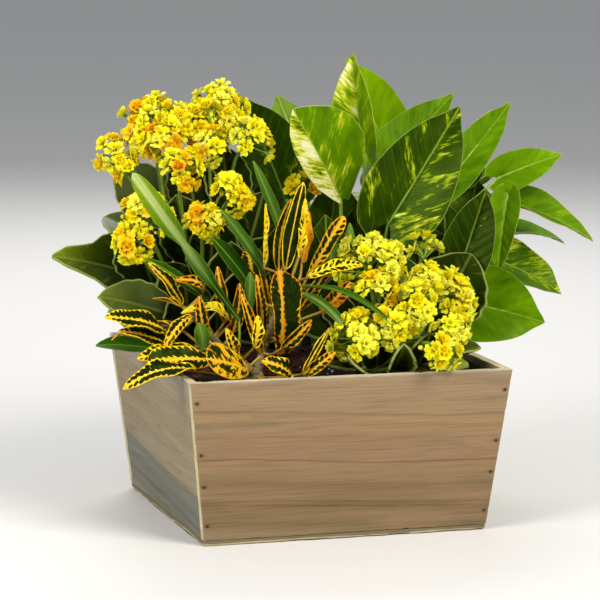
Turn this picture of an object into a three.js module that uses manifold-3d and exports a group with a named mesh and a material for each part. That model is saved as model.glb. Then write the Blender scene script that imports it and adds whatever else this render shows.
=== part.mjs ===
// A flared wooden flower box, planted with a golden pothos, a narrow-leaved croton and two yellow
// kalanchoes. Millimetres, +Z up. The origin is the middle of the underside of the base board;
// +X runs to the right along the front board and +Y runs from the front board to the back one.

import * as THREE from 'three';
import { mergeVertices } from 'three/addons/utils/BufferGeometryUtils.js';
import Module from 'manifold-3d';

const wasm = await Module();
wasm.setup();

// Box: four boards that lean outward, nailed at the corners, on a thin base board.
const RIM_SIDE = 216;
const FOOT_SIDE = 190.6;
const BOX_HEIGHT = 108;
const WALL = 6;
const BASE_BOARD = 3.5;

// Plastic liner and the potting mix in it.
const LINER_WALL = 1.2;
const LINER_BELOW_RIM = 4;
const SOIL_BELOW_RIM = 10;

// Root balls: the four plants come out of 4 inch nursery pots and stand two by two.
const ROOT_OFFSET = 50;
const ROOT_TOP_RADIUS = 44;
const ROOT_FOOT_RADIUS = 33;
const ROOT_HEIGHT = 84;
const ROOT_SIDES = 20;

// Pieces that touch keep this clearance.
const SEAT = 0.3;

const SOIL_TOP = BOX_HEIGHT - SOIL_BELOW_RIM;
const STEM_FOOT = SOIL_TOP + SEAT;

const group = new THREE.Group();

// ---------------------------------------------------------------- materials

function finish(color, roughness) {
  return new THREE.MeshStandardMaterial({ color, roughness, metalness: 0 });
}

const weatheredWood = finish(0xa08868, 0.8);
const linerPlastic = finish(0x1d3324, 0.45);
const moistSoil = finish(0x3b2a1e, 0.95);
const rootFibre = finish(0x6b5238, 0.95);
const pothosGreen = finish(0x4f8a1e, 0.4);
const kalanchoeGreen = finish(0x3c5e22, 0.45);
const kalanchoeYellow = finish(0xf4d31f, 0.6);
const crotonLeaf = finish(0x9a8a1a, 0.35);
const crotonBark = finish(0x6d6240, 0.75);
const strapGreen = finish(0x56852c, 0.4);

function place(name, geometry, material) {
  const mesh = new THREE.Mesh(geometry, material);
  mesh.name = name;
  group.add(mesh);
  return mesh;
}

// ---------------------------------------------------------------- solids

const vec = ([x, y, z]) => new THREE.Vector3(x, y, z);
const radians = THREE.MathUtils.degToRad;

function toSolid(geometry) {
  const bare = geometry.clone();
  bare.deleteAttribute('normal');
  bare.deleteAttribute('uv');
  const merged = mergeVertices(bare, 1e-4);
  const corners = merged.index.array;
  const kept = [];
  for (let i = 0; i < corners.length; i += 3) {
    const [a, b, c] = corners.subarray(i, i + 3);
    if (a !== b && b !== c && c !== a) kept.push(a, b, c);
  }
  return new wasm.Manifold(new wasm.Mesh({
    numProp: 3,
    vertProperties: new Float32Array(merged.attributes.position.array),
    triVerts: new Uint32Array(kept),
  }));
}

function toGeometry(solid) {
  const mesh = solid.getMesh();
  const geometry = new THREE.BufferGeometry();
  geometry.setAttribute('position', new THREE.Float32BufferAttribute(mesh.vertProperties, 3));
  geometry.setIndex(Array.from(mesh.triVerts));
  return geometry;
}

function join(...geometries) {
  return toGeometry(geometries.map(toSolid).reduce((sum, next) => sum.add(next)));
}

function cut(blank, ...tools) {
  return toGeometry(tools.map(toSolid).reduce((rest, tool) => rest.subtract(tool), toSolid(blank)));
}

// Moves every vertex of a unit blank to where the function says.
function reshape(blank, where) {
  const position = blank.attributes.position;
  for (let i = 0; i < position.count; i += 1) {
    const point = where(position.getX(i), position.getY(i), position.getZ(i));
    position.setXYZ(i, point.x, point.y, point.z);
  }
  return blank;
}

function polygon(radius, sides) {
  const corners = Array.from({ length: sides }, (_, i) => {
    const turn = (2 * Math.PI * i) / sides;
    return new THREE.Vector2(radius * Math.cos(turn), radius * Math.sin(turn));
  });
  return new THREE.Shape(corners);
}

function tube(curve, radius, sides, steps) {
  return new THREE.ExtrudeGeometry(polygon(radius, sides), { extrudePath: curve, steps });
}

// A turned solid from [radius, height] points, on the Z axis.
function turned(profile, sides) {
  const points = profile.map(([radius, height]) => new THREE.Vector2(radius, height));
  return new THREE.LatheGeometry(points, sides).rotateX(Math.PI / 2);
}

// ---------------------------------------------------------------- box

// Half the outside width of the box at a height above its underside.
function halfSide(z) {
  return (FOOT_SIDE + (RIM_SIDE - FOOT_SIDE) * (z / BOX_HEIGHT)) / 2;
}

// A block with the slope of the walls, standing in from their outside by inset.
function flaredBlock(bottom, top, inset) {
  return reshape(new THREE.BoxGeometry(2, 2, 2), (x, y, z) => {
    const height = z < 0 ? bottom : top;
    const half = halfSide(height) - inset;
    return new THREE.Vector3(x * half, y * half, height);
  });
}

// A wall board of the front, whose ends stop short of the corner by endInset.
function wallBoard(endInset) {
  return reshape(new THREE.BoxGeometry(2, 2, 2), (x, y, z) => {
    const height = z < 0 ? BASE_BOARD + SEAT : BOX_HEIGHT;
    const half = halfSide(height);
    return new THREE.Vector3(x * (half - endInset), y < 0 ? -half : WALL - half, height);
  });
}

// The front and back boards cover the ends of the side boards.
const WALLS = [
  ['front_board', 0, 0],
  ['right_board', 90, WALL + SEAT],
  ['back_board', 180, 0],
  ['left_board', 270, WALL + SEAT],
];
for (const [name, turn, endInset] of WALLS) {
  place(name, wallBoard(endInset), weatheredWood).rotation.z = radians(turn);
}

place('base_board', new THREE.BoxGeometry(FOOT_SIDE, FOOT_SIDE, BASE_BOARD), weatheredWood)
  .position.z = BASE_BOARD / 2;

// ---------------------------------------------------------------- liner and soil

const LINER_INSET = WALL + SEAT;
const LINER_FOOT = BASE_BOARD + SEAT;
const LINER_FLOOR = LINER_FOOT + LINER_WALL;

// How far a cut that is open at the top runs past the top.
const CUT_PAST = 20;

place('liner', cut(
  flaredBlock(LINER_FOOT, BOX_HEIGHT - LINER_BELOW_RIM, LINER_INSET),
  flaredBlock(LINER_FLOOR, BOX_HEIGHT + CUT_PAST, LINER_INSET + LINER_WALL),
), linerPlastic);

// A root ball keeps the taper of its nursery pot.
function rootRadius(z) {
  const taper = (ROOT_TOP_RADIUS - ROOT_FOOT_RADIUS) / ROOT_HEIGHT;
  return ROOT_TOP_RADIUS + taper * (z - SOIL_TOP);
}

function rootBall([x, y], clearance, top) {
  const bottom = SOIL_TOP - ROOT_HEIGHT - clearance;
  const profile = [
    [0, bottom],
    [rootRadius(bottom) + clearance, bottom],
    [rootRadius(top) + clearance, top],
    [0, top],
  ];
  return turned(profile, ROOT_SIDES).translate(x, y, 0);
}

const ROOTS = {
  root_ball_croton: [-ROOT_OFFSET, -ROOT_OFFSET],
  root_ball_kalanchoe_front: [ROOT_OFFSET, -ROOT_OFFSET],
  root_ball_kalanchoe_back: [-ROOT_OFFSET, ROOT_OFFSET],
  root_ball_pothos: [ROOT_OFFSET, ROOT_OFFSET],
};
for (const [name, middle] of Object.entries(ROOTS)) {
  place(name, rootBall(middle, 0, SOIL_TOP), rootFibre);
}

place('potting_mix', cut(
  flaredBlock(LINER_FLOOR + SEAT, SOIL_TOP, LINER_INSET + LINER_WALL + SEAT),
  ...Object.values(ROOTS).map((middle) => rootBall(middle, SEAT, SOIL_TOP + CUT_PAST)),
), moistSoil);

// ---------------------------------------------------------------- leaves

// Each kind of leaf: thickness, stalk radius, how far the blade's lobes reach back past the
// stalk as a share of its length, and the half width along the midrib as a share of the full
// half width, from the stalk (0) to the tip (1).
const POTHOS = {
  thickness: 1,
  stalk: 1.6,
  lobe: 0.1,
  outline: (v) => (0.75 + 0.25 * Math.sin((Math.PI / 2) * Math.min(v / 0.3, 1))) * (1 - v ** 2.6) ** 0.75,
};
const KALANCHOE = {
  thickness: 2,
  stalk: 2.2,
  lobe: 0,
  outline: (v) => Math.sin(Math.PI * v ** 1.15) ** 0.7,
};
const CROTON = {
  thickness: 1,
  stalk: 1.2,
  lobe: 0,
  outline: (v) => Math.sin(Math.PI * v ** 0.9) ** 0.55,
};
const STRAP = {
  thickness: 1,
  stalk: 1.2,
  lobe: 0,
  outline: (v) => Math.sin(Math.PI * v ** 0.8) ** 0.9,
};

const BLADE_ACROSS = 4;
const BLADE_ALONG = 6;
const BLADE_EDGE = 0.6;
const STALK_SIDES = 5;
const STALK_STEPS = 6;
const STALK_LEAVES = 6;
const STALK_INTO_BLADE = 5;

// A blade runs from base to tip and bows towards its face by arch times its length; its halves
// fold up from the midrib by fold degrees. Arrival is the way its midrib sets out.
function bladeFrame({ base, tip, face, arch = 0 }) {
  const root = vec(base);
  const along = vec(tip).sub(root);
  const length = along.length();
  along.normalize();
  const normal = vec(face);
  normal.addScaledVector(along, -normal.dot(along)).normalize();
  const side = along.clone().cross(normal);
  const arrival = along.clone().addScaledVector(normal, 4 * arch).normalize();
  return { root, along, normal, side, length, arrival };
}

function blade(kind, leaf) {
  const { root, along, normal, side, length } = bladeFrame(leaf);
  const { width, arch = 0, fold = 0 } = leaf;
  const rise = Math.sin(radians(fold));
  const spread = Math.cos(radians(fold));
  const blank = new THREE.BoxGeometry(2, 1, 1, BLADE_ACROSS, BLADE_ALONG, 1);
  return reshape(blank, (u, y, z) => {
    const v = y + 0.5;
    const out = Math.abs(u);
    const half = Math.max(kind.outline(v) * (width / 2), BLADE_EDGE);
    const back = kind.lobe * out ** 1.6 * (1 - v) ** 3;
    const bow = 4 * arch * v * (1 - v);
    return root.clone()
      .addScaledVector(along, length * (v - back))
      .addScaledVector(side, u * half * spread)
      .addScaledVector(normal, out * half * rise + length * bow + z * kind.thickness);
  });
}

// A stalk leaves its seat square on, passes the points in via and runs into the blade.
function stalkCurve(seat, leaf) {
  const { root, arrival } = bladeFrame(leaf);
  return new THREE.CatmullRomCurve3([
    seat.start,
    seat.start.clone().addScaledVector(seat.out, STALK_LEAVES),
    ...(leaf.via ?? []).map(vec),
    root,
    root.clone().addScaledVector(arrival, STALK_INTO_BLADE),
  ], false, 'centripetal');
}

function placeLeaf(name, kind, leaf, seat, material) {
  const stalk = tube(stalkCurve(seat, leaf), kind.stalk, STALK_SIDES, STALK_STEPS);
  place(name, join(blade(kind, leaf), stalk), material);
}

const UP = new THREE.Vector3(0, 0, 1);

function seatOnSoil([x, y]) {
  return { start: new THREE.Vector3(x, y, STEM_FOOT), out: UP };
}

// The seat on the round of a stem, part of the way up it, on the side that looks towards a point.
function seatOnStem({ curve, radius }, share, toward) {
  const centre = curve.getPointAt(share);
  const tangent = curve.getTangentAt(share);
  const out = vec(toward).sub(centre);
  out.addScaledVector(tangent, -out.dot(tangent)).normalize();
  return { start: centre.clone().addScaledVector(out, radius + SEAT), out };
}

function twoDigits(index) {
  return String(index + 1).padStart(2, '0');
}

// ---------------------------------------------------------------- pothos

// Foot of the stalk on the soil, base and tip of the blade, width, face, arch, fold, via points.
const POTHOS_LEAVES = [
  [[40, 38], [32, 20, 205], [-9, 5, 268], 64, [2, -9, 4], 0.04, 32],
  [[52, 46], [56, 44, 236], [49, 50, 303], 46, [-5, -8, 0], 0.04, 30],
  [[60, 62], [92, 106, 232], [58, 92, 297], 46, [1, -9, 3], 0.02, 12],
  [[66, 50], [75, 70, 224], [144, 100, 268], 42, [-3, -9, 4], -0.03, 10],
  [[54, 32], [62, 10, 190], [114, 10, 268], 56, [-2, -9, 3], 0.07, 12],
  [[71, 58], [114, 53, 206], [176, 72, 264], 40, [-3, -9, 3], 0.04, 10],
  [[72, 40], [151, 39, 216], [195, 29, 233], 30, [1, -8, 5], 0.05, 8, [[118, 28, 190]]],
  [[76, 52], [160, 48, 200], [216, 20, 173], 34, [3, -6, 8], 0.05, 25],
  [[66, 32], [110, 0, 158], [131, 6, 213], 36, [-3, -9, 1], 0.03, 20],
  [[80, 42], [153, 23, 206], [142, 10, 153], 24, [-6, -8, 2], 0.05, 15, [[126, 40, 180], [149, 31, 208]]],
  [[68, 70], [168, 62, 175], [217, 75, 165], 26, [1, -3, 9], 0.08, 15],
  [[80, 64], [150, 46, 160], [195, 25, 136], 44, [4, -8, 5], 0.06, 10],
  [[74, 28], [120, 14, 134], [169, -10, 122], 58, [2, -9, 2], 0.04, 12],
  [[34, 58], [8, 72, 202], [-27, 68, 274], 58, [1, -9, 3], 0.05, 20],
  [[50, 70], [60, 100, 190], [64, 165, 186], 52, [0, 2, 9], 0.08, 12],
];
POTHOS_LEAVES.forEach(([foot, base, tip, width, face, arch, fold, via], i) => {
  const leaf = { base, tip, width, face, arch, fold, via };
  placeLeaf(`pothos_leaf_${twoDigits(i)}`, POTHOS, leaf, seatOnSoil(foot), pothosGreen);
});

// ---------------------------------------------------------------- kalanchoes

const KALANCHOE_STEM_RADIUS = 4;
const PEDUNCLE_RADIUS = 1.7;
const HEAD_SIDES = 12;
const HEAD_RINGS = 5;
const HEAD_BELOW = 0.35;

const STEM_SIDES = 8;
const STEM_STEPS = 6;

function stemAlong(points, radius) {
  const curve = new THREE.CatmullRomCurve3(points.map(vec), false, 'centripetal');
  return { curve, radius };
}

function stemTube({ curve, radius }) {
  return tube(curve, radius, STEM_SIDES, STEM_STEPS);
}

// A flower head is a low dome on a peduncle: its underside is HEAD_BELOW of its depth.
function domeProfile(radius, depth) {
  const profile = [[0, -HEAD_BELOW * depth]];
  for (let i = 0; i < HEAD_RINGS; i += 1) {
    const turn = (Math.PI / 2) * (i / HEAD_RINGS);
    profile.push([radius * Math.cos(turn), (1 - HEAD_BELOW) * depth * Math.sin(turn)]);
  }
  return [...profile, [0, (1 - HEAD_BELOW) * depth]];
}

function flowerHead(stem, { share, centre, axis, radius, depth }) {
  const up = vec(axis).normalize();
  const middle = vec(centre);
  const head = turned(domeProfile(radius, depth), HEAD_SIDES)
    .applyQuaternion(new THREE.Quaternion().setFromUnitVectors(UP, up))
    .translate(middle.x, middle.y, middle.z);
  const under = middle.clone().addScaledVector(up, -HEAD_BELOW * depth);
  const seat = seatOnStem(stem, share, [under.x, under.y, under.z]);
  const peduncle = new THREE.CatmullRomCurve3([
    seat.start,
    seat.start.clone().addScaledVector(seat.out, STALK_LEAVES),
    under.clone().addScaledVector(up, -STALK_LEAVES),
    middle,
  ], false, 'centripetal');
  return join(head, tube(peduncle, PEDUNCLE_RADIUS, STALK_SIDES, STALK_STEPS));
}

function placeKalanchoe(name, stemPoints, leaves, heads) {
  const stem = stemAlong(stemPoints, KALANCHOE_STEM_RADIUS);
  place(`${name}_stem`, stemTube(stem), kalanchoeGreen);
  leaves.forEach(([share, base, tip, width, face, arch, fold], i) => {
    const leaf = { base, tip, width, face, arch, fold };
    const seat = seatOnStem(stem, share, base);
    placeLeaf(`${name}_leaf_${twoDigits(i)}`, KALANCHOE, leaf, seat, kalanchoeGreen);
  });
  heads.forEach(([share, centre, axis, radius, depth], i) => {
    const head = flowerHead(stem, { share, centre, axis, radius, depth });
    place(`${name}_flower_head_${twoDigits(i)}`, head, kalanchoeYellow);
  });
}

// Leaves: how far up the stem, base and tip of the blade, width, face, arch, fold.
// Heads: how far up the stem, centre of the dome, the way it looks, radius, depth.
placeKalanchoe(
  'kalanchoe_back',
  [[-54, 52, STEM_FOOT], [-54, 52, STEM_FOOT + 8], [-60, 48, 130], [-66, 42, 166]],
  [
    [0.5, [-86, 40, 150], [-165, 30, 173], 42, [1, -6, 8], 0.04, 15],
    [0.3, [-76, 14, 128], [-142, -4, 150], 34, [2, -8, 5], 0.05, 12],
    [0.7, [-72, 66, 186], [-114, 62, 228], 40, [-1, -9, 2], 0.05, 10],
    [0.4, [-70, 84, 138], [-96, 140, 150], 42, [-1, 2, 9], 0.06, 12],
  ],
  [
    [0.9, [-92, 40, 252], [-1, -3, 9], 29, 38],
    [0.98, [-46, 52, 268], [2, -3, 9], 19, 28],
    [0.86, [-32, 24, 246], [4, -4, 8], 17, 26],
    [0.78, [-86, 0, 230], [-1, -6, 8], 17, 22],
    [0.6, [-110, 0, 196], [-3, -7, 6], 25, 34],
    [0.68, [-58, -8, 208], [1, -7, 7], 20, 32],
  ],
);
placeKalanchoe(
  'kalanchoe_front',
  [[50, -50, STEM_FOOT], [50, -50, STEM_FOOT + 8], [52, -48, 128]],
  [
    [0.4, [86, -6, 114], [112, -12, 168], 46, [-5, -8, 1], 0.02, 20],
    [0.25, [38, -72, 104], [38, -95, 124], 18, [0, -8, 5], 0.05, 10],
    [0.3, [76, -62, 106], [98, -74, 118], 18, [3, -5, 8], 0.05, 10],
  ],
  [
    [0.95, [33, -44, 168], [-1, -4, 9], 24, 34],
    [0.8, [92, -44, 146], [6, -5, 6], 24, 34],
    [0.6, [12, -80, 128], [-5, -7, 5], 20, 30],
    [0.85, [52, -80, 146], [0, -7, 7], 19, 26],
    [0.7, [55, -110, 124], [1, -9, -1], 14, 18],
  ],
);

// ---------------------------------------------------------------- croton

const CROTON_STEM_RADIUS = 2.8;
const CROTON_STEMS = {
  tall: stemAlong([[-48, -50, 101], [-46, -50, 108], [-38, -48, 130], [-24, -42, 164]], CROTON_STEM_RADIUS),
  left: stemAlong([[-52, -49, 101], [-55, -48, 108], [-74, -44, 124], [-92, -38, 146]], CROTON_STEM_RADIUS),
  low: stemAlong([[-51, -53, 101], [-54, -57, 106], [-62, -62, 110], [-72, -66, 112]], CROTON_STEM_RADIUS),
};
const CROWN = [[0, 0], [8, 0], [7, 5], [4, 9], [0, 9]];
const crown = turned(CROWN, STEM_SIDES).translate(-50, -51, STEM_FOOT);
place('croton_stems', join(crown, ...Object.values(CROTON_STEMS).map(stemTube)), crotonBark);

// Stem, how far up it, base and tip of the blade, width, face, arch, fold.
const CROTON_LEAVES = [
  ['low', 0.9, [-80, -66, 115], [-127, -75, 117], 20, [0, -7, 6], 0.06, 6],
  ['low', 0.6, [-62, -80, 110], [-95, -100, 122], 25, [1, -8, 6], 0.04, 6],
  ['low', 0.75, [-98, -84, 112], [-151, -96, 101], 20, [-1, -5, 8], 0.12, 12],
  ['left', 0.85, [-104, -34, 130], [-150, -55, 144], 18, [0, -7, 7], 0.06, 12],
  ['left', 0.6, [-94, -30, 116], [-140, -50, 134], 14, [0, -7, 7], 0.05, 12],
  ['left', 0.98, [-96, -42, 148], [-122, -50, 174], 12, [2, -8, 4], 0.1, 15],
  ['tall', 0.4, [-34, -60, 116], [-37, -75, 173], 21, [0, -9, 1], 0.04, 6],
  ['tall', 0.92, [-28, -42, 170], [-25, -44, 216], 14, [-3, -9, 0], -0.08, 12],
  ['tall', 0.98, [-19, -46, 170], [-18, -55, 227], 13, [-1, -9, 1], 0.03, 12],
  ['tall', 0.85, [-8, -36, 164], [11, -45, 205], 15, [1, -9, 2], 0.04, 12],
];
CROTON_LEAVES.forEach(([stem, share, base, tip, width, face, arch, fold], i) => {
  const leaf = { base, tip, width, face, arch, fold };
  const seat = seatOnStem(CROTON_STEMS[stem], share, base);
  placeLeaf(`croton_leaf_${twoDigits(i)}`, CROTON, leaf, seat, crotonLeaf);
});

// Plain green strap leaves stand among the patterned ones.
const STRAP_LEAVES = [
  ['left', 0.35, [-60, -52, 138], [-138, -80, 238], 11, [3, -8, 5], 0.03, 20],
  ['tall', 0.75, [-20, -56, 160], [30, -98, 137], 8, [2, -3, 9], 0.12, 10],
  ['left', 0.5, [-97, 6, 111], [-143, 0, 117], 14, [0, -6, 8], 0.05, 12],
];
STRAP_LEAVES.forEach(([stem, share, base, tip, width, face, arch, fold], i) => {
  const leaf = { base, tip, width, face, arch, fold };
  const seat = seatOnStem(CROTON_STEMS[stem], share, base);
  placeLeaf(`strap_leaf_${twoDigits(i)}`, STRAP, leaf, seat, strapGreen);
});

export default group;
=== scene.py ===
# A flared wooden flower box, planted with a golden pothos, a narrow-leaved croton and two yellow
# kalanchoes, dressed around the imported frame. Metres, +Z up; the rows of leaves are in millimetres.

import contextlib
import math
import random

import bpy
import numpy as np
from mathutils import Matrix, Vector, noise


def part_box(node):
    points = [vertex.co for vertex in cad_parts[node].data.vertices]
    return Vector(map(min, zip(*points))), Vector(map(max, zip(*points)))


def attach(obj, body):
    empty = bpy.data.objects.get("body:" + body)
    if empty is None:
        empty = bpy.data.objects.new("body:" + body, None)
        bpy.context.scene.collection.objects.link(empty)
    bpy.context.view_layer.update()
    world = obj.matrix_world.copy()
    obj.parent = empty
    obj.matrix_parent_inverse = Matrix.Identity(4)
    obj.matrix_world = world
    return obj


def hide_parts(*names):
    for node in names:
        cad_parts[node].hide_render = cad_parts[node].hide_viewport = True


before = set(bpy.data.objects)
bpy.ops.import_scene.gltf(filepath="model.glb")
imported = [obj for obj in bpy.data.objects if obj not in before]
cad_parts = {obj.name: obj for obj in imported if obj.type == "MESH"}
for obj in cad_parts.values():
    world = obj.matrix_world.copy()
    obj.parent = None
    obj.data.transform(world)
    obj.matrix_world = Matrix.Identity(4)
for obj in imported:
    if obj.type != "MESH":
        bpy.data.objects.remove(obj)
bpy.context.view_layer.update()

# ---------------------------------------------------------------- wall boards
# Four softwood boards, 6 mm thick, sawn with slanted ends and leant outward. The front and back
# boards lap the ends of the side boards. Stained grey-brown and weathered, each with its own
# figure: the grain runs along the board, and the sawn ends and the rim have stayed pale. Each
# face is also darkened by its own share for how its side is lit: painted light and shade.

MM = 0.001


def take(*pieces):
    """Selects these pieces alone, as clicks on them do, and makes the first one active."""
    for shown in bpy.context.selected_objects:
        shown.select_set(False)
    for piece in pieces:
        piece.select_set(True)
    bpy.context.view_layer.objects.active = pieces[0]


def applied(piece):
    """Fixes a piece's place, turn and size in its mesh."""
    take(piece)
    bpy.ops.object.transform_apply(location=True, rotation=True, scale=True)
    return piece


def begun(add, **settings):
    """A primitive to shape a piece from."""
    add(**settings)
    return applied(bpy.context.object)


@contextlib.contextmanager
def editing(piece, kind, test=None):
    """Edit mode in vertex, edge or face selection, on the parts that a test picks, or on all."""
    mesh = piece.data
    groups = {"VERT": mesh.vertices, "EDGE": mesh.edges, "FACE": mesh.polygons}
    for each, group in groups.items():
        group.foreach_set("select", [each == kind and bool(test and test(part)) for part in group])
    take(piece)
    bpy.context.tool_settings.mesh_select_mode = [each == kind for each in groups]
    bpy.ops.object.mode_set(mode="EDIT")
    if not test:
        bpy.ops.mesh.select_all(action="SELECT")
    yield
    bpy.ops.object.mode_set(mode="OBJECT")


def points_of(piece):
    flat = np.empty(len(piece.data.vertices) * 3)
    piece.data.vertices.foreach_get("co", flat)
    return flat.reshape(-1, 3)


def move_points(piece, points):
    piece.data.vertices.foreach_set("co", np.ravel(points))
    piece.data.update()


def cut_across(piece, axis, longest, cuts):
    """Cuts every edge that runs further than longest along an axis, and the faces between them."""
    level = points_of(piece)[:, axis]
    with editing(piece, "EDGE", lambda e: abs(level[e.vertices[0]] - level[e.vertices[1]]) > longest):
        bpy.ops.mesh.subdivide(number_cuts=cuts)


def dress(piece, *finishes):
    piece.data.materials.clear()
    for finish in finishes:
        piece.data.materials.append(finish)


def smooth(piece, degrees):
    take(piece)
    bpy.ops.object.shade_smooth_by_angle(angle=math.radians(degrees))


def settle(piece, name, slot, *nodes):
    """Names a finished piece and hands it to the frame in place of its CAD nodes."""
    piece.name = piece.data.name = name
    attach(piece, "root")
    if nodes:
        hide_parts(*nodes)


def paint(code):
    """A shade as it is mixed, from its sRGB code to linear light."""
    shades = [int(code[i:i + 2], 16) / 255 for i in (0, 2, 4)]
    return tuple(c / 12.92 if c < 0.04045 else ((c + 0.055) / 1.055) ** 2.4 for c in shades) + (1,)


class Flow:
    """What comes out of a node. A sum on it adds the nodes that work it out."""

    def __init__(self, socket):
        self.socket = socket
        self.tree = socket.id_data

    def sum(self, operation, *others):
        return node(self.tree, "Math", dict(enumerate((self, *others))), operation=operation)

    def __add__(self, other):
        return self.sum("ADD", other)

    def __sub__(self, other):
        return self.sum("SUBTRACT", other)

    def __mul__(self, other):
        return self.sum("MULTIPLY", other)

    def __truediv__(self, other):
        return self.sum("DIVIDE", other)

    def __abs__(self):
        return self.sum("ABSOLUTE")

    def spread(self, low, high, start=0.0, end=1.0, shape="SMOOTHSTEP"):
        """Carries a value from low..high over to start..end, and stops at both."""
        return node(self.tree, "MapRange", {
            "Value": self, "From Min": low, "From Max": high, "To Min": start, "To Max": end},
            interpolation_type=shape)

    def split(self):
        """The three parts of a place."""
        first = node(self.tree, "SeparateXYZ", {0: self})
        return [Flow(socket) for socket in first.socket.node.outputs]


def node(tree, kind, inputs, output=0, **settings):
    """Adds a node, sets or links its inputs, and hands on one output. Text stands for a shade."""
    made = tree.nodes.new("ShaderNode" + kind)
    for key, value in settings.items():
        setattr(made, key, value)
    for key, value in inputs.items():
        if isinstance(value, Flow):
            tree.links.new(value.socket, made.inputs[key])
        else:
            made.inputs[key].default_value = paint(value) if isinstance(value, str) else value
    return Flow(made.outputs[output]) if made.outputs else None


def tint(share, under, over, mode="MIX"):
    """A share of one shade over another; one of the three comes out of a node."""
    tree = next(value.tree for value in (share, under, over) if isinstance(value, Flow))
    return node(tree, "Mix", {0: share, 6: under, 7: over}, 2, data_type="RGBA", blend_type=mode)


def layered(colour, *layers):
    """Lays shades over a colour one by one, each with its share."""
    for share, shade in layers:
        colour = tint(share, colour, shade)
    return colour


def ramp(value, *stops):
    """Shades along a value, each a code or linear light, with its place."""
    made = node(value.tree, "ValToRGB", {"Fac": value})
    elements = made.socket.node.color_ramp.elements
    while len(elements) < len(stops):
        elements.new(0.5)
    for element, (place, shade) in zip(elements, stops):
        element.position = place
        element.color = paint(shade) if isinstance(shade, str) else shade
    return made


def grain(place, scale, detail=2, roughness=0.5, distortion=0.0, shift=(0, 0, 0)):
    """Noise through a place, at one scale or at one for each axis."""
    scales = scale if isinstance(scale, tuple) else (scale,) * 3
    moved = node(place.tree, "Mapping", {"Vector": place, "Location": shift, "Scale": scales})
    return node(place.tree, "TexNoise", {
        "Vector": moved, "Scale": 1, "Detail": detail, "Roughness": roughness,
        "Distortion": distortion})


def new_finish(name):
    finish = bpy.data.materials.new(name)
    finish.use_nodes = True
    finish.node_tree.nodes.clear()
    return finish, finish.node_tree


def own_place(tree):
    """Where a point lies on its own piece, in metres."""
    return node(tree, "TexCoord", {}, "Object")


def glaze(colour, roughness, relief, depth, strength, shine=0.5, tinge=(1, 1, 1, 1), metal=0.0):
    """The surface shader: colour and roughness, a relief of a depth in metres, fixed values."""
    bump = node(relief.tree, "Bump", {"Height": relief, "Distance": depth, "Strength": strength})
    return node(relief.tree, "BsdfPrincipled", {
        "Base Color": colour, "Roughness": roughness, "Normal": bump, "Specular IOR Level": shine,
        "Specular Tint": tinge, "Metallic": metal})


def show(shader):
    node(shader.tree, "OutputMaterial", {"Surface": shader})


RIM_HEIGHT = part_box("front_board")[1].z
RIM_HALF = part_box("front_board")[1].x
FOOT_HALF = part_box("base_board")[1].x
BOARD_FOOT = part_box("front_board")[0].z
SIDE_END = RIM_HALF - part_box("left_board")[1].y
WALL = 6 * MM
LEAN = (RIM_HALF - FOOT_HALF) / RIM_HEIGHT
GRAIN_SLOPE = 0.05
EDGE_ROUND = 0.5 * MM
WORN = 0.9 * MM

# The figure of each board from its foot up: height in millimetres and shade.
FRONT_FIGURE = [
    (4, "a08a66"), (9, "937b57"), (11.5, "84734f"), (13, "8f7853"), (20, "93795a"),
    (22.6, "8a7048"), (23.4, "705a38"), (24.2, "8d734c"), (26.2, "7e6842"), (27.4, "94795a"),
    (33, "997b5b"), (38, "8c7450"), (40, "9a7f5b"), (47, "a08560"), (51.6, "a3835f"),
    (52.6, "83654a"), (53.4, "a58763"), (58, "a0815f"), (63, "a4845f"), (67, "9f8262"),
    (73, "ab8c65"), (76, "a08460"), (79, "ae9066"), (82.2, "a88b63"), (83, "957a58"),
    (84, "ac8f69"), (91, "aa9068"), (97, "ad9170"), (103, "b0926f"), (107, "ab9574"),
]
LEFT_FIGURE = [
    (4, "8e8b7c"), (8, "7c7b70"), (12, "85836f"), (15, "6f6f68"), (18, "7f7e72"),
    (24, "77786d"), (28, "838372"), (32, "7b7b6d"), (35.5, "82806f"), (38, "9c9075"),
    (45, "a3947a"), (54, "9a8c6f"), (62, "a49474"), (70, "998a6c"), (78, "a19172"),
    (88, "9b8d70"), (96, "a5967c"), (107, "a09684"),
]
BACK_FIGURE = [
    (4, "948260"), (12, "8a7a58"), (18, "7a6c50"), (19, "92805e"), (30, "9b8664"),
    (41, "8b7755"), (42.5, "6f5d40"), (44, "94805c"), (56, "a18b68"), (66, "998260"),
    (74, "a68c69"), (81, "8f7959"), (83, "a38a66"), (95, "a48f6f"), (107, "a89676"),
]
RIGHT_FIGURE = [
    (4, "908b76"), (14, "858170"), (21, "75725f"), (23, "8b8570"), (34, "948a70"),
    (46, "8a8066"), (58, "9d8f70"), (61, "85775a"), (64, "9d8e6f"), (79, "a39373"),
    (90, "978869"), (107, "a39a83"),
]

# Nails: four through each end of the front and back boards, into the ends of the side boards.
NAIL_HEIGHTS = [13.5 * MM, 39.5 * MM, 60.5 * MM, 94.5 * MM]
NAIL_FROM_END = 3.2 * MM


def along_board(tree, turn):
    """Along the board, through it and up it, in metres, whichever side it stands on."""
    return node(tree, "Mapping", {"Vector": own_place(tree), "Rotation": (0, 0, -turn)})


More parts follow.
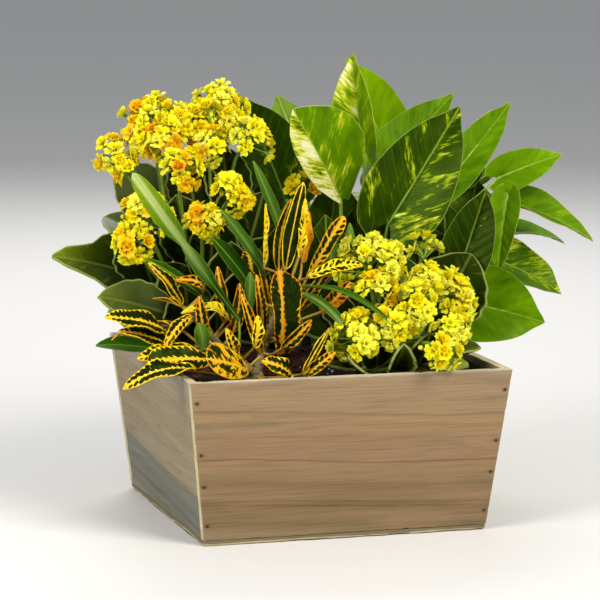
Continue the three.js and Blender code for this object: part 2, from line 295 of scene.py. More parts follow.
def weathered_side(name, figure, painted_side_shade, blush, turn, seed):
    finish, tree = new_finish(name)
    along = along_board(tree, turn)
    length, _, height = along.split()
    slow = grain(along, (5, 5, 14), shift=(seed, 0, 0))
    quick = grain(along, (22, 22, 60), shift=(seed, 3, 0))
    # The boards are sawn a little askew, so the figure drops toward one end.
    bend = (slow - 0.5) * 0.009 + (quick - 0.5) * 0.0024 + length * GRAIN_SLOPE
    colour = ramp((height + bend) / RIM_HEIGHT, *[(h * MM / RIM_HEIGHT, shade) for h, shade in figure])
    # Broad drifts of pinker and of olive wood run along the board, under fine streaks and pores
    # that are a third of a millimetre high and some centimetres long.
    drift = grain(along, (9, 9, 75), 3, 0.6, shift=(seed, 7, 2))
    olive = grain(along, (12, 12, 120), 3, 0.6, shift=(seed, 1, 9))
    streak = grain(along, (26, 26, 1500), 6, 0.65, 0.2, (seed, 0, 5))
    pores = grain(along, (60, 60, 2600), 3, 0.6, shift=(seed, 4, 5))
    colour = layered(
        colour, (drift.spread(0.5, 0.75, 0, blush), "b08c6c"), (olive.spread(0.54, 0.74, 0, 0.55), "857755"))
    streaks = ramp(
        streak, (0.3, (0.72, 0.70, 0.66, 1)), (0.48, (0.97, 0.96, 0.95, 1)), (0.7, (1.1, 1.09, 1.07, 1)))
    colour = tint(1.0, colour, streaks, "MULTIPLY")
    colour = tint(pores.spread(0.62, 0.72, 0, 0.4), colour, "6f5940")
    # Stains have run out of the nail holes, and the rim and the corners are worn pale.
    nail_line = height.spread(
        0, RIM_HEIGHT, FOOT_HALF - NAIL_FROM_END, RIM_HALF - NAIL_FROM_END, "LINEAR")
    from_nails = abs(length) - nail_line
    if turn in (0, math.pi):
        for level in NAIL_HEIGHTS:
            rise = (height - level) * 1.6
            off = (from_nails * from_nails + rise * rise).sum("SQRT")
            colour = tint(off.spread(0.8 * MM, 3.4 * MM, 0.6, 0), colour, "5d4a34")
    rough_rim = quick * 0.0022 + height
    colour = layered(
        colour, (rough_rim.spread(RIM_HEIGHT - 0.4 * MM, RIM_HEIGHT + 0.9 * MM, 0, 0.7), "b9b4a0"),
        (from_nails.spread(1.6 * MM, 3.4 * MM, 0, 0.3), "b8a684"))
    # Each board's whole face is darkened by its own share, set for how its side is lit: painted light and
    # shade.
    colour = tint(1.0, colour, (painted_side_shade, painted_side_shade, painted_side_shade, 1), "MULTIPLY")
    show(glaze(colour, streak.spread(0.3, 0.7, 0.88, 0.72), streak - pores * 0.5, 0.16 * MM, 0.7, 0.3))
    return finish


def sawn_end(name, turn, seed):
    """End grain and sawn rim: pale, with cut rings and soot in the pores."""
    finish, tree = new_finish(name)
    along = along_board(tree, turn)
    rings = grain(along, (40, 700, 90), 4, 0.6, 0.4, (seed, 0, 0))
    pits = grain(along, 1400, 3, 0.7)
    colour = ramp(rings, (0.32, "8f8468"), (0.5, "c4b692"), (0.7, "d8ceb0"))
    colour = tint(pits.spread(0.58, 0.7, 0, 0.7), colour, "5a4c38")
    show(glaze(colour, 0.9, pits, 0.2 * MM, 0.6, 0.2))
    return finish


def wall_board(name, turn, end_inset, figure, painted_side_shade, blush, seed):
    """A board, shaped as the front one, then turned to its own side."""
    foot = FOOT_HALF + LEAN * BOARD_FOOT
    tall = RIM_HEIGHT - BOARD_FOOT
    board = begun(
        bpy.ops.mesh.primitive_cube_add, size=1, location=(0, WALL / 2 - foot, BOARD_FOOT + tall / 2),
        scale=(2 * (foot - end_inset), WALL, tall))
    # The rim end is drawn out to its length and leant forward.
    with editing(board, "VERT", lambda v: v.co.z > RIM_HEIGHT - MM):
        bpy.ops.transform.resize(
            value=((RIM_HALF - end_inset) / (foot - end_inset), 1, 1), center_override=(0, 0, 0))
        bpy.ops.transform.translate(value=(0, foot - RIM_HALF, 0))
        bpy.ops.mesh.select_all(action="SELECT")
        bpy.ops.mesh.bevel(offset=EDGE_ROUND, segments=2)
    for axis, longest, cuts in ((0, 40 * MM, 90), (2, 40 * MM, 44), (1, 3 * MM, 4)):
        cut_across(board, axis, longest, cuts)
    # Planed by machine, then worn: a shallow warp, and rim, foot and ends that are chipped.
    points = points_of(board)
    for i, (x, y, z) in enumerate(points):
        points[i, 1] += 0.16 * MM * noise.noise(Vector((x * 14 + seed, y * 30, z * 60)))
        chip = max(0.0, noise.noise(Vector((x * 160, y * 240, seed))) - 0.15)
        if z > RIM_HEIGHT - WORN:
            points[i, 2] -= 1.0 * MM * chip
        if z < BOARD_FOOT + WORN:
            points[i, 2] += 1.2 * MM * chip
        if abs(x) > foot - end_inset + LEAN * (z - BOARD_FOOT) - WORN:
            nick = max(0.0, noise.noise(Vector((seed, z * 220, y * 200))) - 0.2)
            points[i, 0] -= math.copysign(0.9 * MM * nick, x)
    move_points(board, points)
    dress(board, weathered_side(name + "_side", figure, painted_side_shade, blush, turn, seed),
          sawn_end(name + "_end", turn, seed))
    for face in board.data.polygons:
        face.material_index = int(max(abs(face.normal.x), abs(face.normal.z)) > 0.7)
    smooth(board, 35)
    board.rotation_euler.z = turn
    settle(applied(board), "weathered_" + name, "weathered_wood", name)


wall_board("front_board", 0, 0, FRONT_FIGURE, 0.68, 0.5, 3)
wall_board("right_board", math.pi / 2, SIDE_END, RIGHT_FIGURE, 0.72, 0.3, 11)
wall_board("back_board", math.pi, 0, BACK_FIGURE, 0.7, 0.5, 23)
wall_board("left_board", 3 * math.pi / 2, SIDE_END, LEFT_FIGURE, 0.77, 0.1, 31)

# ---------------------------------------------------------------- base board
# A thin square of softwood, pinned under the four boards. Its sawn edge shows as a pale line
# below them; underneath it is rough, and its lower edge has split off in places. Painted shade
# darkens the edge at its foot and underneath, and along its top under the boards.

BASE_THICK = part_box("base_board")[1].z

base_board = begun(
    bpy.ops.mesh.primitive_cube_add, size=1, location=(0, 0, BASE_THICK / 2),
    scale=(2 * FOOT_HALF, 2 * FOOT_HALF, BASE_THICK))
with editing(base_board, "EDGE"):
    bpy.ops.mesh.bevel(offset=EDGE_ROUND / 2, segments=1)
for axis, longest, cuts in ((0, 40 * MM, 80), (1, 40 * MM, 80), (2, 2 * MM, 3)):
    cut_across(base_board, axis, longest, cuts)
points = points_of(base_board)
for i, (x, y, z) in enumerate(points):
    to_edge = FOOT_HALF - max(abs(x), abs(y))
    split = max(0.0, noise.noise(Vector((x * 90, y * 90, 4))) + 0.15 * math.copysign(1, x))
    if z < 0.4 * MM and to_edge < 1.5 * MM:
        points[i, 2] += min(1.4 * MM, 2.6 * MM * split)
    if to_edge < 0.6 * MM and z < 2.6 * MM:
        points[i, :2] *= 1 - 1.1 * MM * split * (1 - z / (2.8 * MM)) / FOOT_HALF
move_points(base_board, points)

base_finish, tree = new_finish("base_board_raw")
place = own_place(tree)
fibres = grain(place, (40, 700, 900), 4, 0.6, 0.2)
# A noise wobbles the lines of painted shade: dark at the foot of the sawn edge and underneath, for the shade
# at the floor, and above its pale middle, for the shade in the gap under the boards.
shade_line_wobble = grain(place, (30, 30, 200), 3, 0.6)
level = place.split()[2] + (shade_line_wobble - 0.4) * 0.003
colour = layered(
    ramp(fibres, (0.3, "9b8c6a"), (0.5, "c6b890"), (0.7, "d8cdaa")),
    (level.spread(0.6 * MM, 1.4 * MM, 0.9, 0), "352b1f"),
    (level.spread(1.7 * MM, 2.2 * MM, 0, 0.9), "7d6c50"))
colour = tint(1.0, colour, (0.7, 0.7, 0.7, 1), "MULTIPLY")
show(glaze(colour, 0.9, fibres, 0.2 * MM, 0.6, 0.2))
dress(base_board, base_finish)
settle(base_board, "rough_base_board", "weathered_wood", "base_board")

# ---------------------------------------------------------------- nails
# Steel brads, 1.6 mm across the head, driven flush through the front and back boards into the
# ends of the side boards. The heads have rusted dark brown.

NAIL_HEAD = 0.8 * MM
HEAD_THICK = 0.5 * MM
NAIL_LENGTH = 16 * MM
NAIL_TIP = 1.2 * MM


def copy_of(piece, matrix):
    made = piece.copy()
    made.data = piece.data.copy()
    bpy.context.collection.objects.link(made)
    made.matrix_world = matrix
    return made


def joined(pieces):
    """Joins pieces into the first one."""
    take(*pieces)
    bpy.ops.object.join()
    return applied(pieces[0])


nail = begun(
    bpy.ops.mesh.primitive_cylinder_add, vertices=14, radius=NAIL_HEAD, depth=HEAD_THICK,
    location=(0, -0.1 * MM, 0), rotation=(math.pi / 2, 0, 0))
# The head is domed a little; the shank is drawn out of its back and closed to a point.
with editing(nail, "FACE", lambda f: f.normal.y < -0.9):
    bpy.ops.mesh.inset(thickness=0.3 * MM)
    bpy.ops.transform.translate(value=(0, -0.12 * MM, 0))
with editing(nail, "FACE", lambda f: f.normal.y > 0.9):
    bpy.ops.mesh.inset(thickness=0.35 * MM)
    bpy.ops.mesh.extrude_region_move(TRANSFORM_OT_translate={"value": (0, NAIL_LENGTH, 0)})
    bpy.ops.mesh.extrude_region_move(TRANSFORM_OT_translate={"value": (0, NAIL_TIP, 0)})
    bpy.ops.transform.resize(value=(0.15, 1, 0.15))

rust, tree = new_finish("rusty_steel")
bloom = grain(own_place(tree), 1800, 4, 0.6)
rust_colour = ramp(bloom, (0.35, "1f1712"), (0.6, "3d2a1d"), (0.75, "6a432a"))
show(glaze(rust_colour, bloom.spread(0.35, 0.7, 0.55, 0.85), bloom, 0.05 * MM, 0.6, metal=0.35))
dress(nail, rust)

brads = []
for turn in (0, math.pi):
    for end in (-1, 1):
        for level in NAIL_HEIGHTS:
            half = FOOT_HALF + LEAN * level
            spot = Matrix.Translation((end * (half - NAIL_FROM_END), -half, level))
            brads.append(copy_of(
                nail, Matrix.Rotation(turn, 4, "Z") @ spot @ Matrix.Rotation(math.atan(LEAN), 4, "X")))
bpy.data.objects.remove(nail)
corner_brads = joined(brads)
smooth(corner_brads, 40)
settle(corner_brads, "corner_brads", "nail_steel")

# ---------------------------------------------------------------- liner
# A loose tub of dark green plastic film that keeps the wet soil off the wood. It is folded into
# the box by hand, so its walls are creased and its top edge runs unevenly below the rim.

LINER_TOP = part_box("liner")[1].z
LINER_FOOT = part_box("liner")[0].z
LINER_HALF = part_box("liner")[1].x
LINER_FILM = 0.5 * MM
liner_foot_half = LINER_HALF - LEAN * (LINER_TOP - LINER_FOOT)


def thicken(piece, thickness, inner=0):
    """Gives a sheet its thickness, inward; its inner face takes a finish that much further on."""
    shell = piece.modifiers.new("thickness", "SOLIDIFY")
    shell.thickness = thickness
    shell.offset = -1
    shell.material_offset = inner
    take(piece)
    bpy.ops.object.modifier_apply(modifier=shell.name)


liner = begun(
    bpy.ops.mesh.primitive_cube_add, size=1, location=(0, 0, (LINER_FOOT + LINER_TOP) / 2),
    scale=(2 * liner_foot_half, 2 * liner_foot_half, LINER_TOP - LINER_FOOT))
with editing(liner, "VERT", lambda v: v.co.z > LINER_TOP - MM):
    bpy.ops.transform.resize(
        value=(LINER_HALF / liner_foot_half,) * 2 + (1,), center_override=(0, 0, LINER_TOP))
with editing(liner, "FACE", lambda f: f.normal.z > 0.9):
    bpy.ops.mesh.delete(type="FACE")
    bpy.ops.mesh.select_all(action="SELECT")
    bpy.ops.mesh.subdivide(number_cuts=40)
points = points_of(liner)
for i, (x, y, z) in enumerate(points):
    wall = LINER_HALF - LEAN * (LINER_TOP - z)
    crease = noise.turbulence(Vector((x * 60, y * 60, z * 26)), 3, True)
    if max(abs(x), abs(y)) > wall - 0.5 * MM:
        points[i, :2] *= 1 - (0.25 + 1.3 * abs(crease)) * MM / wall
    if z > LINER_TOP - 0.5 * MM:
        points[i, 2] -= 1.6 * MM * (0.5 + noise.noise(Vector((x * 30, y * 30, 5))))
move_points(liner, points)
thicken(liner, LINER_FILM)
smooth(liner, 50)

liner_finish, tree = new_finish("liner_film")
cloud = grain(own_place(tree), 55, 4, 0.6)
dust = grain(own_place(tree), 900, 3, 0.7)
colour = ramp(cloud, (0.3, "12211a"), (0.6, "223a2c"), (0.75, "32503c"))
colour = tint(dust.spread(0.58, 0.75, 0, 0.5), colour, "6b5c46")
show(glaze(colour, dust.spread(0.4, 0.7, 0.35, 0.65), cloud, 0.4 * MM, 0.5))
dress(liner, liner_finish)
settle(liner, "creased_liner", "liner_plastic", "liner")

# ---------------------------------------------------------------- root balls
# Each plant keeps the plug of roots of its nursery pot: a tapered cylinder of peat with roots
# that have circled on its outside. One is made and set in four times, turned differently.

SOIL_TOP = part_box("potting_mix")[1].z
ROOT_NODES = [
    "root_ball_croton", "root_ball_kalanchoe_front", "root_ball_kalanchoe_back", "root_ball_pothos"]
ball_low, ball_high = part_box(ROOT_NODES[0])
BALL_TALL = ball_high.z - ball_low.z
BALL_TOP = (ball_high.x - ball_low.x) / 2
BALL_TAPER = 0.75
END_RING = 9 * MM
ROOTS = 16
ROOT_STEPS = 26


def rod(path, radii, round_by=1):
    """A round rod along a path, both in millimetres: a bevelled curve, made a mesh."""
    bpy.ops.curve.primitive_nurbs_path_add()
    made = bpy.context.object
    made.data.splines.clear()
    spline = made.data.splines.new("POLY")
    spline.points.add(len(path) - 1)
    for point, place, radius in zip(spline.points, path, radii):
        point.co = (*(np.array(place) * MM), 1)
        point.radius = radius
    made.data.dimensions = "3D"
    made.data.bevel_depth = MM
    made.data.bevel_resolution = round_by
    made.data.use_fill_caps = True
    take(made)
    bpy.ops.object.convert(target="MESH")
    return bpy.context.object


def mottled(name, scale, detail, roughness, stops, gloss, depth, strength, shine):
    """A finish whose one grain picks its shade and raises its relief."""
    finish, tree = new_finish(name)
    crumb = grain(own_place(tree), scale, detail, roughness)
    show(glaze(ramp(crumb, *stops), gloss, crumb, depth, strength, shine))
    return finish


root_ball = begun(
    bpy.ops.mesh.primitive_cone_add, vertices=64, radius1=BALL_TOP * BALL_TAPER, radius2=BALL_TOP,
    depth=BALL_TALL, location=(0, 0, ball_low.z + BALL_TALL / 2))
cut_across(root_ball, 2, MM, 24)
with editing(root_ball, "FACE", lambda f: abs(f.normal.z) > 0.9):
    bpy.ops.mesh.inset(thickness=END_RING)
    bpy.ops.mesh.inset(thickness=END_RING)
points = points_of(root_ball)
for i, (x, y, z) in enumerate(points):
    lump = abs(noise.turbulence(Vector((x * 90, y * 90, z * 90)), 3, False))
    shrink = 1 - (0.6 + 2.0 * lump) * MM / BALL_TOP
    points[i] = (x * shrink, y * shrink, z - (0.4 * MM if z > SOIL_TOP - MM else 0))
move_points(root_ball, points)
dress(root_ball, mottled(
    "root_ball_peat", 420, 5, 0.65, [(0.3, "241810"), (0.55, "4a3424"), (0.75, "6e5238")],
    0.95, 0.8 * MM, 0.8, 0.15))
root_skin = mottled(
    "root_skin", 900, 3, 0.6, [(0.3, "8a7048"), (0.6, "b9a077"), (0.8, "d6c49c")],
    0.85, 0.1 * MM, 0.5, 0.2)

random.seed(5)
strands = []
for _ in range(ROOTS):
    start, run = random.uniform(0, 2 * math.pi), random.uniform(1.2, 4.0)
    low, climb = random.uniform(0.05, 0.8), random.uniform(-0.25, 0.25)
    share = np.linspace(0, 1, ROOT_STEPS)
    up = np.clip(low + climb * share + 0.03 * np.sin(7 * share + start), 0.03, 0.97)
    around = BALL_TOP * (BALL_TAPER + (1 - BALL_TAPER) * up) - 1.0 * MM
    turn = start + run * share
    path = np.stack([around * np.cos(turn), around * np.sin(turn), ball_low.z + up * BALL_TALL], 1)
    strands.append(rod(path / MM, random.uniform(0.35, 0.6) * (1 - 0.6 * share), 0))
    dress(strands[-1], root_skin)
root_ball = joined([root_ball, *strands])
smooth(root_ball, 60)
for turn, name in enumerate(ROOT_NODES):
    low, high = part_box(name)
    middle = Matrix.Translation(((low.x + high.x) / 2, (low.y + high.y) / 2, 0))
    ball = applied(copy_of(root_ball, middle @ Matrix.Rotation(turn * 1.7, 4, "Z")))
    settle(ball, name.replace("root_ball", "rooted_plug"), "root_fibre", name)
bpy.data.objects.remove(root_ball)

# ---------------------------------------------------------------- potting mix
# Dark peat fills the liner round the root balls, which keeps its moulded pockets, and a loose
# lumpy layer of it was spread over them. Chips of red-brown bark and white perlite lie on it.

LAYER_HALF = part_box("potting_mix")[1].x - 0.5 * MM
LAYER_THICK = 0.8 * MM
BARK_CHIPS = 230
PERLITE_BITS = 40

soil_finish, tree = new_finish("moist_peat")
crumbs = grain(own_place(tree), 380, 6, 0.7)
clods = grain(own_place(tree), 90, 3)
colour = ramp(crumbs, (0.3, "0f0a07"), (0.5, "2a1c13"), (0.72, "4e3423"))
colour = tint(clods.spread(0.5, 0.75, 0, 0.5), colour, "5a3220")
show(glaze(colour, 0.95, crumbs, 0.9 * MM, 0.9, 0.2))
dress(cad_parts["potting_mix"], soil_finish)

top_layer = begun(
    bpy.ops.mesh.primitive_cube_add, size=1, location=(0, 0, SOIL_TOP + LAYER_THICK / 2),
    scale=(2 * LAYER_HALF, 2 * LAYER_HALF, LAYER_THICK))
for axis in (0, 1):
    cut_across(top_layer, axis, 40 * MM, 110)
points = points_of(top_layer)
for i, (x, y, z) in enumerate(points):
    if z > SOIL_TOP + 0.5 * MM:
        swell = 1.6 * noise.noise(Vector((x * 24, y * 24, 1)))
        clod = 1.5 * abs(noise.turbulence(Vector((x * 120, y * 120, 2)), 4, False))
        points[i, 2] = SOIL_TOP + max(0.25, 0.8 + swell + clod) * MM
move_points(top_layer, points)
dress(top_layer, soil_finish)
smooth(top_layer, 70)
settle(top_layer, "loose_top_layer", "potting_mix")


def knobbly(piece, seed, least, most):
    """Pulls every corner of a small lump in or out by its own share."""
    random.seed(seed)
    move_points(piece, points_of(piece) * [
        [random.uniform(least, most) for _ in range(3)] for _ in piece.data.vertices])
    return piece


def strewn(name, lump, count, seed, inset, lift, draw_size):
    """Copies of a small lump on the soil, each with its place, turn and size, in one piece."""
    random.seed(seed)
    reach = LAYER_HALF - inset
    copies = []
    for _ in range(count):
        spot = (random.uniform(-reach, reach), random.uniform(-reach, reach), SOIL_TOP + lift)
        turn = Matrix.Rotation(random.uniform(0, 6.28), 4, "Z")
        for limit, axis in ((0.5, "X"), (0.4, "Y")):
            turn = turn @ Matrix.Rotation(random.uniform(-limit, limit), 4, axis)
        copies.append(copy_of(lump, Matrix.Translation(spot) @ turn @ Matrix.Diagonal((*draw_size(), 1))))
    bpy.data.objects.remove(lump)
    settle(joined(copies), name, "potting_mix")


def bark_size():
    long = random.uniform(4, 11) * MM
    return long, long * random.uniform(0.3, 0.6), random.uniform(1.2, 2.4) * MM


def perlite_size():
    wide = random.uniform(1.4, 2.8) * MM
    return wide, wide * random.uniform(0.7, 1), wide * random.uniform(0.6, 0.9)


chip = begun(bpy.ops.mesh.primitive_cube_add, size=1)
with editing(chip, "EDGE"):
    bpy.ops.mesh.bevel(offset=0.22, segments=1)
dress(chip, mottled(
    "bark_chips", (300, 300, 1500), 4, 0.6, [(0.3, "2b140d"), (0.52, "5e2f1c"), (0.72, "8f5330")],
    0.85, 0.4 * MM, 0.8, 0.25))
strewn("bark_mulch", knobbly(chip, 8, 0.75, 1.15), BARK_CHIPS, 12, 6 * MM, 1.9 * MM, bark_size)

grit = begun(bpy.ops.mesh.primitive_ico_sphere_add, subdivisions=1, radius=0.5)
dress(grit, mottled(
    "white_perlite", 1500, 4, 0.6, [(0.3, "a89a88"), (0.55, "ded4c6"), (0.8, "f6f1e8")],
    0.9, 0.3 * MM, 0.8, 0.2))
strewn("perlite_grit", knobbly(grit, 9, 0.7, 1.2), PERLITE_BITS, 21, 5 * MM, 2.0 * MM, perlite_size)

# ---------------------------------------------------------------- pothos
# Golden pothos: a stalk rises from the soil for each leaf and runs on under it as the midrib.
# The blades are heart-shaped, waxy and thin, dark to bright green, and streaked with yellow and
# cream along their side veins; how dark or bright each blade is also holds painted shade and
# light. Each is a grid bent to its own leaf, then given its thickness.

SOIL = SOIL_TOP / MM
# How many points the midrib has, and how far along the blade it runs.
RIB_STEPS = 14
RIB_END = 0.94
# Waxy leaves throw back a greenish shine.
WAX = (0.5, 0.8, 0.1, 1)


def smooth_path(points, steps):
    """Even points along a centripetal spline, the line a bent stalk takes."""
    knots = [np.array(p, float) for p in points]
    knots = [2 * knots[0] - knots[1], *knots, 2 * knots[-1] - knots[-2]]
    path = []
    for a, b, c, d in zip(knots, knots[1:], knots[2:], knots[3:]):
        tb = np.linalg.norm(b - a) ** 0.5
        tc = tb + np.linalg.norm(c - b) ** 0.5
        td = tc + np.linalg.norm(d - c) ** 0.5
        for t in np.linspace(tb, tc, steps, endpoint=False):
            ab = a + (b - a) * t / tb
            bc = b + (c - b) * (t - tb) / (tc - tb)
            cd = c + (d - c) * (t - tc) / (td - tc)
            abc = ab + (bc - ab) * t / tc
            bcd = bc + (cd - bc) * (t - tb) / (td - tb)
            path.append(abc + (bcd - abc) * (t - tb) / (tc - tb))
    path = np.array([*path, knots[-2]])
    gone = np.concatenate([[0], np.cumsum(np.linalg.norm(np.diff(path, axis=0), axis=1))])
    even = np.linspace(0, gone[-1], steps * (len(points) - 1) + 1)
    return np.stack([np.interp(even, gone, path[:, axis]) for axis in range(3)], 1)


def write(piece, name, values):
    """Stores a value or a vector for each point of a piece, for its finish to read."""
    values = np.asarray(values, float)
    single = values.ndim == 1
    layer = piece.data.attributes.new(name, "FLOAT" if single else "FLOAT_VECTOR", "POINT")
    layer.data.foreach_set("value" if single else "vector", values.ravel())


def set_tone(piece, *tone):
    write(piece, "leaf_tone", [tone] * len(piece.data.vertices))


def read(tree, name, output="Vector"):
    return node(tree, "Attribute", {}, output, attribute_name=name)


def unit(vector):
    return np.array(vector, float) / np.linalg.norm(vector)


def leaf_frame(leaf):
    """Foot of the blade, the way it runs, the way it looks, its right side and its length."""
    root, tip = np.array(leaf["base"], float), np.array(leaf["tip"], float)
    length = np.linalg.norm(tip - root)
    along = (tip - root) / length
    face = np.array(leaf["face"], float)
    normal = unit(face - along * face.dot(along))
    return root, along, normal, np.cross(along, normal), length


def blade_points(leaf, u, v):
    """Where a blade's surface lies, for u across it from -1 to 1 and v along it from 0 to 1."""
    root, along, normal, side, length = leaf_frame(leaf)
    half = leaf["outline"](v) * leaf["width"] / 2 * (1 + leaf["lopsided"] * u)
    half = np.maximum(half, 0.25)
    x = u * half
    fold = np.radians(leaf["fold"])
    across = x * np.cos(fold)
    up = np.abs(x) * np.sin(fold) + leaf["curl"] * x * x / (leaf["width"] / 2)
    phase = leaf["waves"] * 2 * np.pi * v + leaf["seed"] * 2.1 + np.where(u > 0, 1.3, 0)
    up = up + leaf["wave"] * u * u * np.sin(phase) * np.minimum(1, 4 * (1 - v))
    vein = (length * v - leaf["slant"] * np.abs(x)) / leaf["vein_gap"]
    swell = (0.5 + 0.5 * np.cos(2 * np.pi * vein)) * (1 - u ** 4) * np.minimum(1, 5 * (1 - v))
    up = up - leaf["quilt"] * swell - leaf["groove"] * np.exp(-(x / 0.9) ** 2)
    turn = np.radians(leaf["twist"]) * (v - 0.2)
    across, up = across * np.cos(turn) - up * np.sin(turn), across * np.sin(turn) + up * np.cos(turn)
    bow = 4 * leaf["arch"] * v * (1 - v)
    back = leaf["lobe"] * np.abs(u) ** 1.6 * (1 - v) ** 3
    across = across + leaf["hook"] * length * v * v
    spots = (root + np.multiply.outer(length * (v - back), along)
             + np.multiply.outer(across, side) + np.multiply.outer(up + length * bow, normal))
    return spots, x, half


def grow_leaf(name, leaf, seat, *nodes):
    """One leaf on its stalk. The seat is the first points of the stalk, from the soil or stem."""
    blade = begun(
        bpy.ops.mesh.primitive_grid_add, x_subdivisions=leaf["across"], y_subdivisions=leaf["along"],
        size=2)
    grid = points_of(blade)
    u, v = grid[:, 0], (grid[:, 1] + 1) / 2
    spots, x, half = blade_points(leaf, u, v)
    normal, _, length = leaf_frame(leaf)[2:]
    move_points(blade, spots * MM)
    write(blade, "on_blade", np.stack([x, length * v, half - np.abs(x)], 1))
    set_tone(blade, *leaf["tone"])
    write(blade, "leaf_seed", [leaf["seed"]] * len(u))
    dress(blade, *leaf["finishes"][:2])
    thicken(blade, leaf["thickness"] * MM, 1)
    # The stalk meets the blade and thins out along its underside as the midrib.
    steps = np.linspace(0, RIB_END, RIB_STEPS)
    rib = blade_points(leaf, np.zeros(RIB_STEPS), steps)[0] - normal * (leaf["thickness"] + 0.1)
    rise = smooth_path([*seat, rib[0]], 7)
    risen = np.arange(len(rise) - 1) / len(rise)
    radii = [*leaf["stalk"] * (1.15 - 0.3 * risen), *leaf["stalk"] * 0.8 * (1 - steps) ** 0.8 + 0.12]
    stalk = rod([*rise[:-1], *rib], radii)
    set_tone(stalk, *leaf["tone"])
    dress(stalk, leaf["finishes"][2])
    joined([blade, stalk])
    smooth(blade, 60)
    settle(blade, name, leaf["slot"], *nodes)


def own_node(name, i, count):
    """The frame's node that the piece numbered i stands for, if it is among the first count."""
    return [f"{name}_{i:02d}"] if i <= count else []


def plant(name, node_name, count, kind, rows, seat_of):
    """Grows a leaf from each row. What a row leaves out is as usual for its kind."""
    columns = ("hold", "seed", "base", "tip", "width", "tone", "face", "arch", "fold", "bends")
    for i, row in enumerate(rows, 1):
        leaf = {"curl": 0, "twist": 0, "hook": 0, "lopsided": 0, **kind, **dict(zip(columns, row))}
        leaf.update(leaf.get("bends", {}))
        grow_leaf(f"{name}_{i:02d}", leaf, seat_of(leaf), *own_node(node_name, i, count))


def vein_noise(across, along, slant, wide, long, shift, detail=3):
    """Streaks that follow the side veins, wide and long in millimetres, different on each half."""
    out = abs(across)
    # The halves and the leaves lie far apart in the noise, so that no two are alike.
    layer = across.sum("SIGN") * 7.3 + read(across.tree, "leaf_seed", "Fac") * 5.1 + shift
    place = node(across.tree, "CombineXYZ", {0: (along - out * slant) / wide, 1: out / long, 2: layer})
    return grain(place, 1, detail, 0.55)


def lit_through(shader, light, share):
    """Shows a thin surface that lets a share of the light through, in a shade of its own."""
    through = node(shader.tree, "BsdfTranslucent", {"Color": light})
    show(node(shader.tree, "MixShader", {0: share, 1: shader, 2: through}))


def leaf_glaze(colour, roughness, relief, depth, share, shine=0.5, tinge=WAX):
    shader = glaze(colour, roughness, relief, depth, 0.8, shine, tinge)
    lit_through(shader, tint(0.4, colour, "b4c414"), share)


def pothos_surface(name, under):
    finish, tree = new_finish(name)
    # Across the blade from its midrib, along it, and in from its margin, in millimetres.
    across, along, inward = read(tree, "on_blade").split()
    tone, marble, half = read(tree, "leaf_tone").split()
    out = abs(across)
    broad = vein_noise(across, along, 1.1, 12, 14, 0)
    streak = vein_noise(across, along, 1.1, 2.0, 9, 3)
    fleck = vein_noise(across, along, 1.1, 0.8, 3.4, 8)
    # The half that has more cream is also the darker green one.
    hand = across.sum("SIGN") * half
    # Each leaf's lightness holds painted shade for the leaves in shadow and painted light for the lit ones.
    shade = tone + (broad - 0.5) * 0.7 - hand * 0.16
    green = ramp(
        shade, (0.0, "122301"), (0.25, "2d4901"), (0.5, "4c7402"), (0.75, "6b9803"), (1.0, "8eb608"))
    green = tint(1.0, green, streak * 0.24 + 0.88, "MULTIPLY")
    # Yellow where the streaks are strong, cream where they are strongest.
    level = broad * 0.55 + streak * 0.3 + fleck * 0.25 + hand * 0.1 + marble
    vein = (along - out * 1.1).sum("PINGPONG", 4.2).spread(0, 0.5, 0.35, 0)
    colour = layered(
        green, (level.spread(0.98, 1.02, 0, 0.7), "a3b40a"), (level.spread(1.04, 1.08, 0, 0.9), "dcd848"),
        (level.spread(1.09, 1.13, 0, 0.9), "f0edbc"), (vein, "96ad30" if under else "66870c"),
        (out.spread(0.4, 1.0, 0.45, 0), "98ad30"), (inward.spread(0.15, 0.55, 0.45, 0), "b4bf48"),
        (0.4 if under else 0, "8a9e48"))
    leaf_glaze(colour, 0.5 if under else 0.34, streak * 0.5 - vein * 1.2, 0.25 * MM, 0.22, 0.3)
    return finish


def stalk_surface(name, low, high):
    """A green stalk: ribbed finely along itself, shade by the leaf it carries, so it takes that leaf's
    painted shade too.
    """
    finish, tree = new_finish(name)
    patch = grain(own_place(tree), (260, 260, 40), 3, 0.6)
    share = (patch * 0.8 + read(tree, "leaf_tone").split()[0]).spread(0.3, 1.3)
    leaf_glaze(tint(share, low, high), 0.45, patch, 0.15 * MM, 0.12, tinge=(1, 1, 1, 1))
    return finish


def heart(v):
    """A heart that narrows to a drawn-out tip."""
    shoulder = 0.32 + 0.73 * np.sqrt(1 - (1 - np.minimum(v / 0.34, 1)) ** 2)
    return shoulder * (1 - v ** 2.5) ** 0.95 * (1 - 0.16 * np.exp(-((v - 0.9) / 0.08) ** 2))


def broad_ended(v):
    """The outline of a leaf that is widest past its middle."""
    return np.interp(
        v, [0, 0.1, 0.28, 0.5, 0.7, 0.85, 0.95, 1], [0.12, 0.4, 0.8, 1, 0.97, 0.72, 0.34, 0.03])


POTHOS = {
    "slot": "pothos_leaf", "outline": heart, "lobe": 0.15, "thickness": 0.5, "stalk": 1.45,
    "across": 22, "along": 34, "wave": 1.2, "waves": 1.6, "quilt": 0.35, "vein_gap": 8.4,
    "slant": 1.1, "groove": 0.5, "face": (0, -9, 2), "arch": 0.05, "fold": 14, "via": [],
    "finishes": [pothos_surface("pothos_face", False), pothos_surface("pothos_underside", True),
                 stalk_surface("pothos_stalk", "4c7a14", "9db83c")],
}
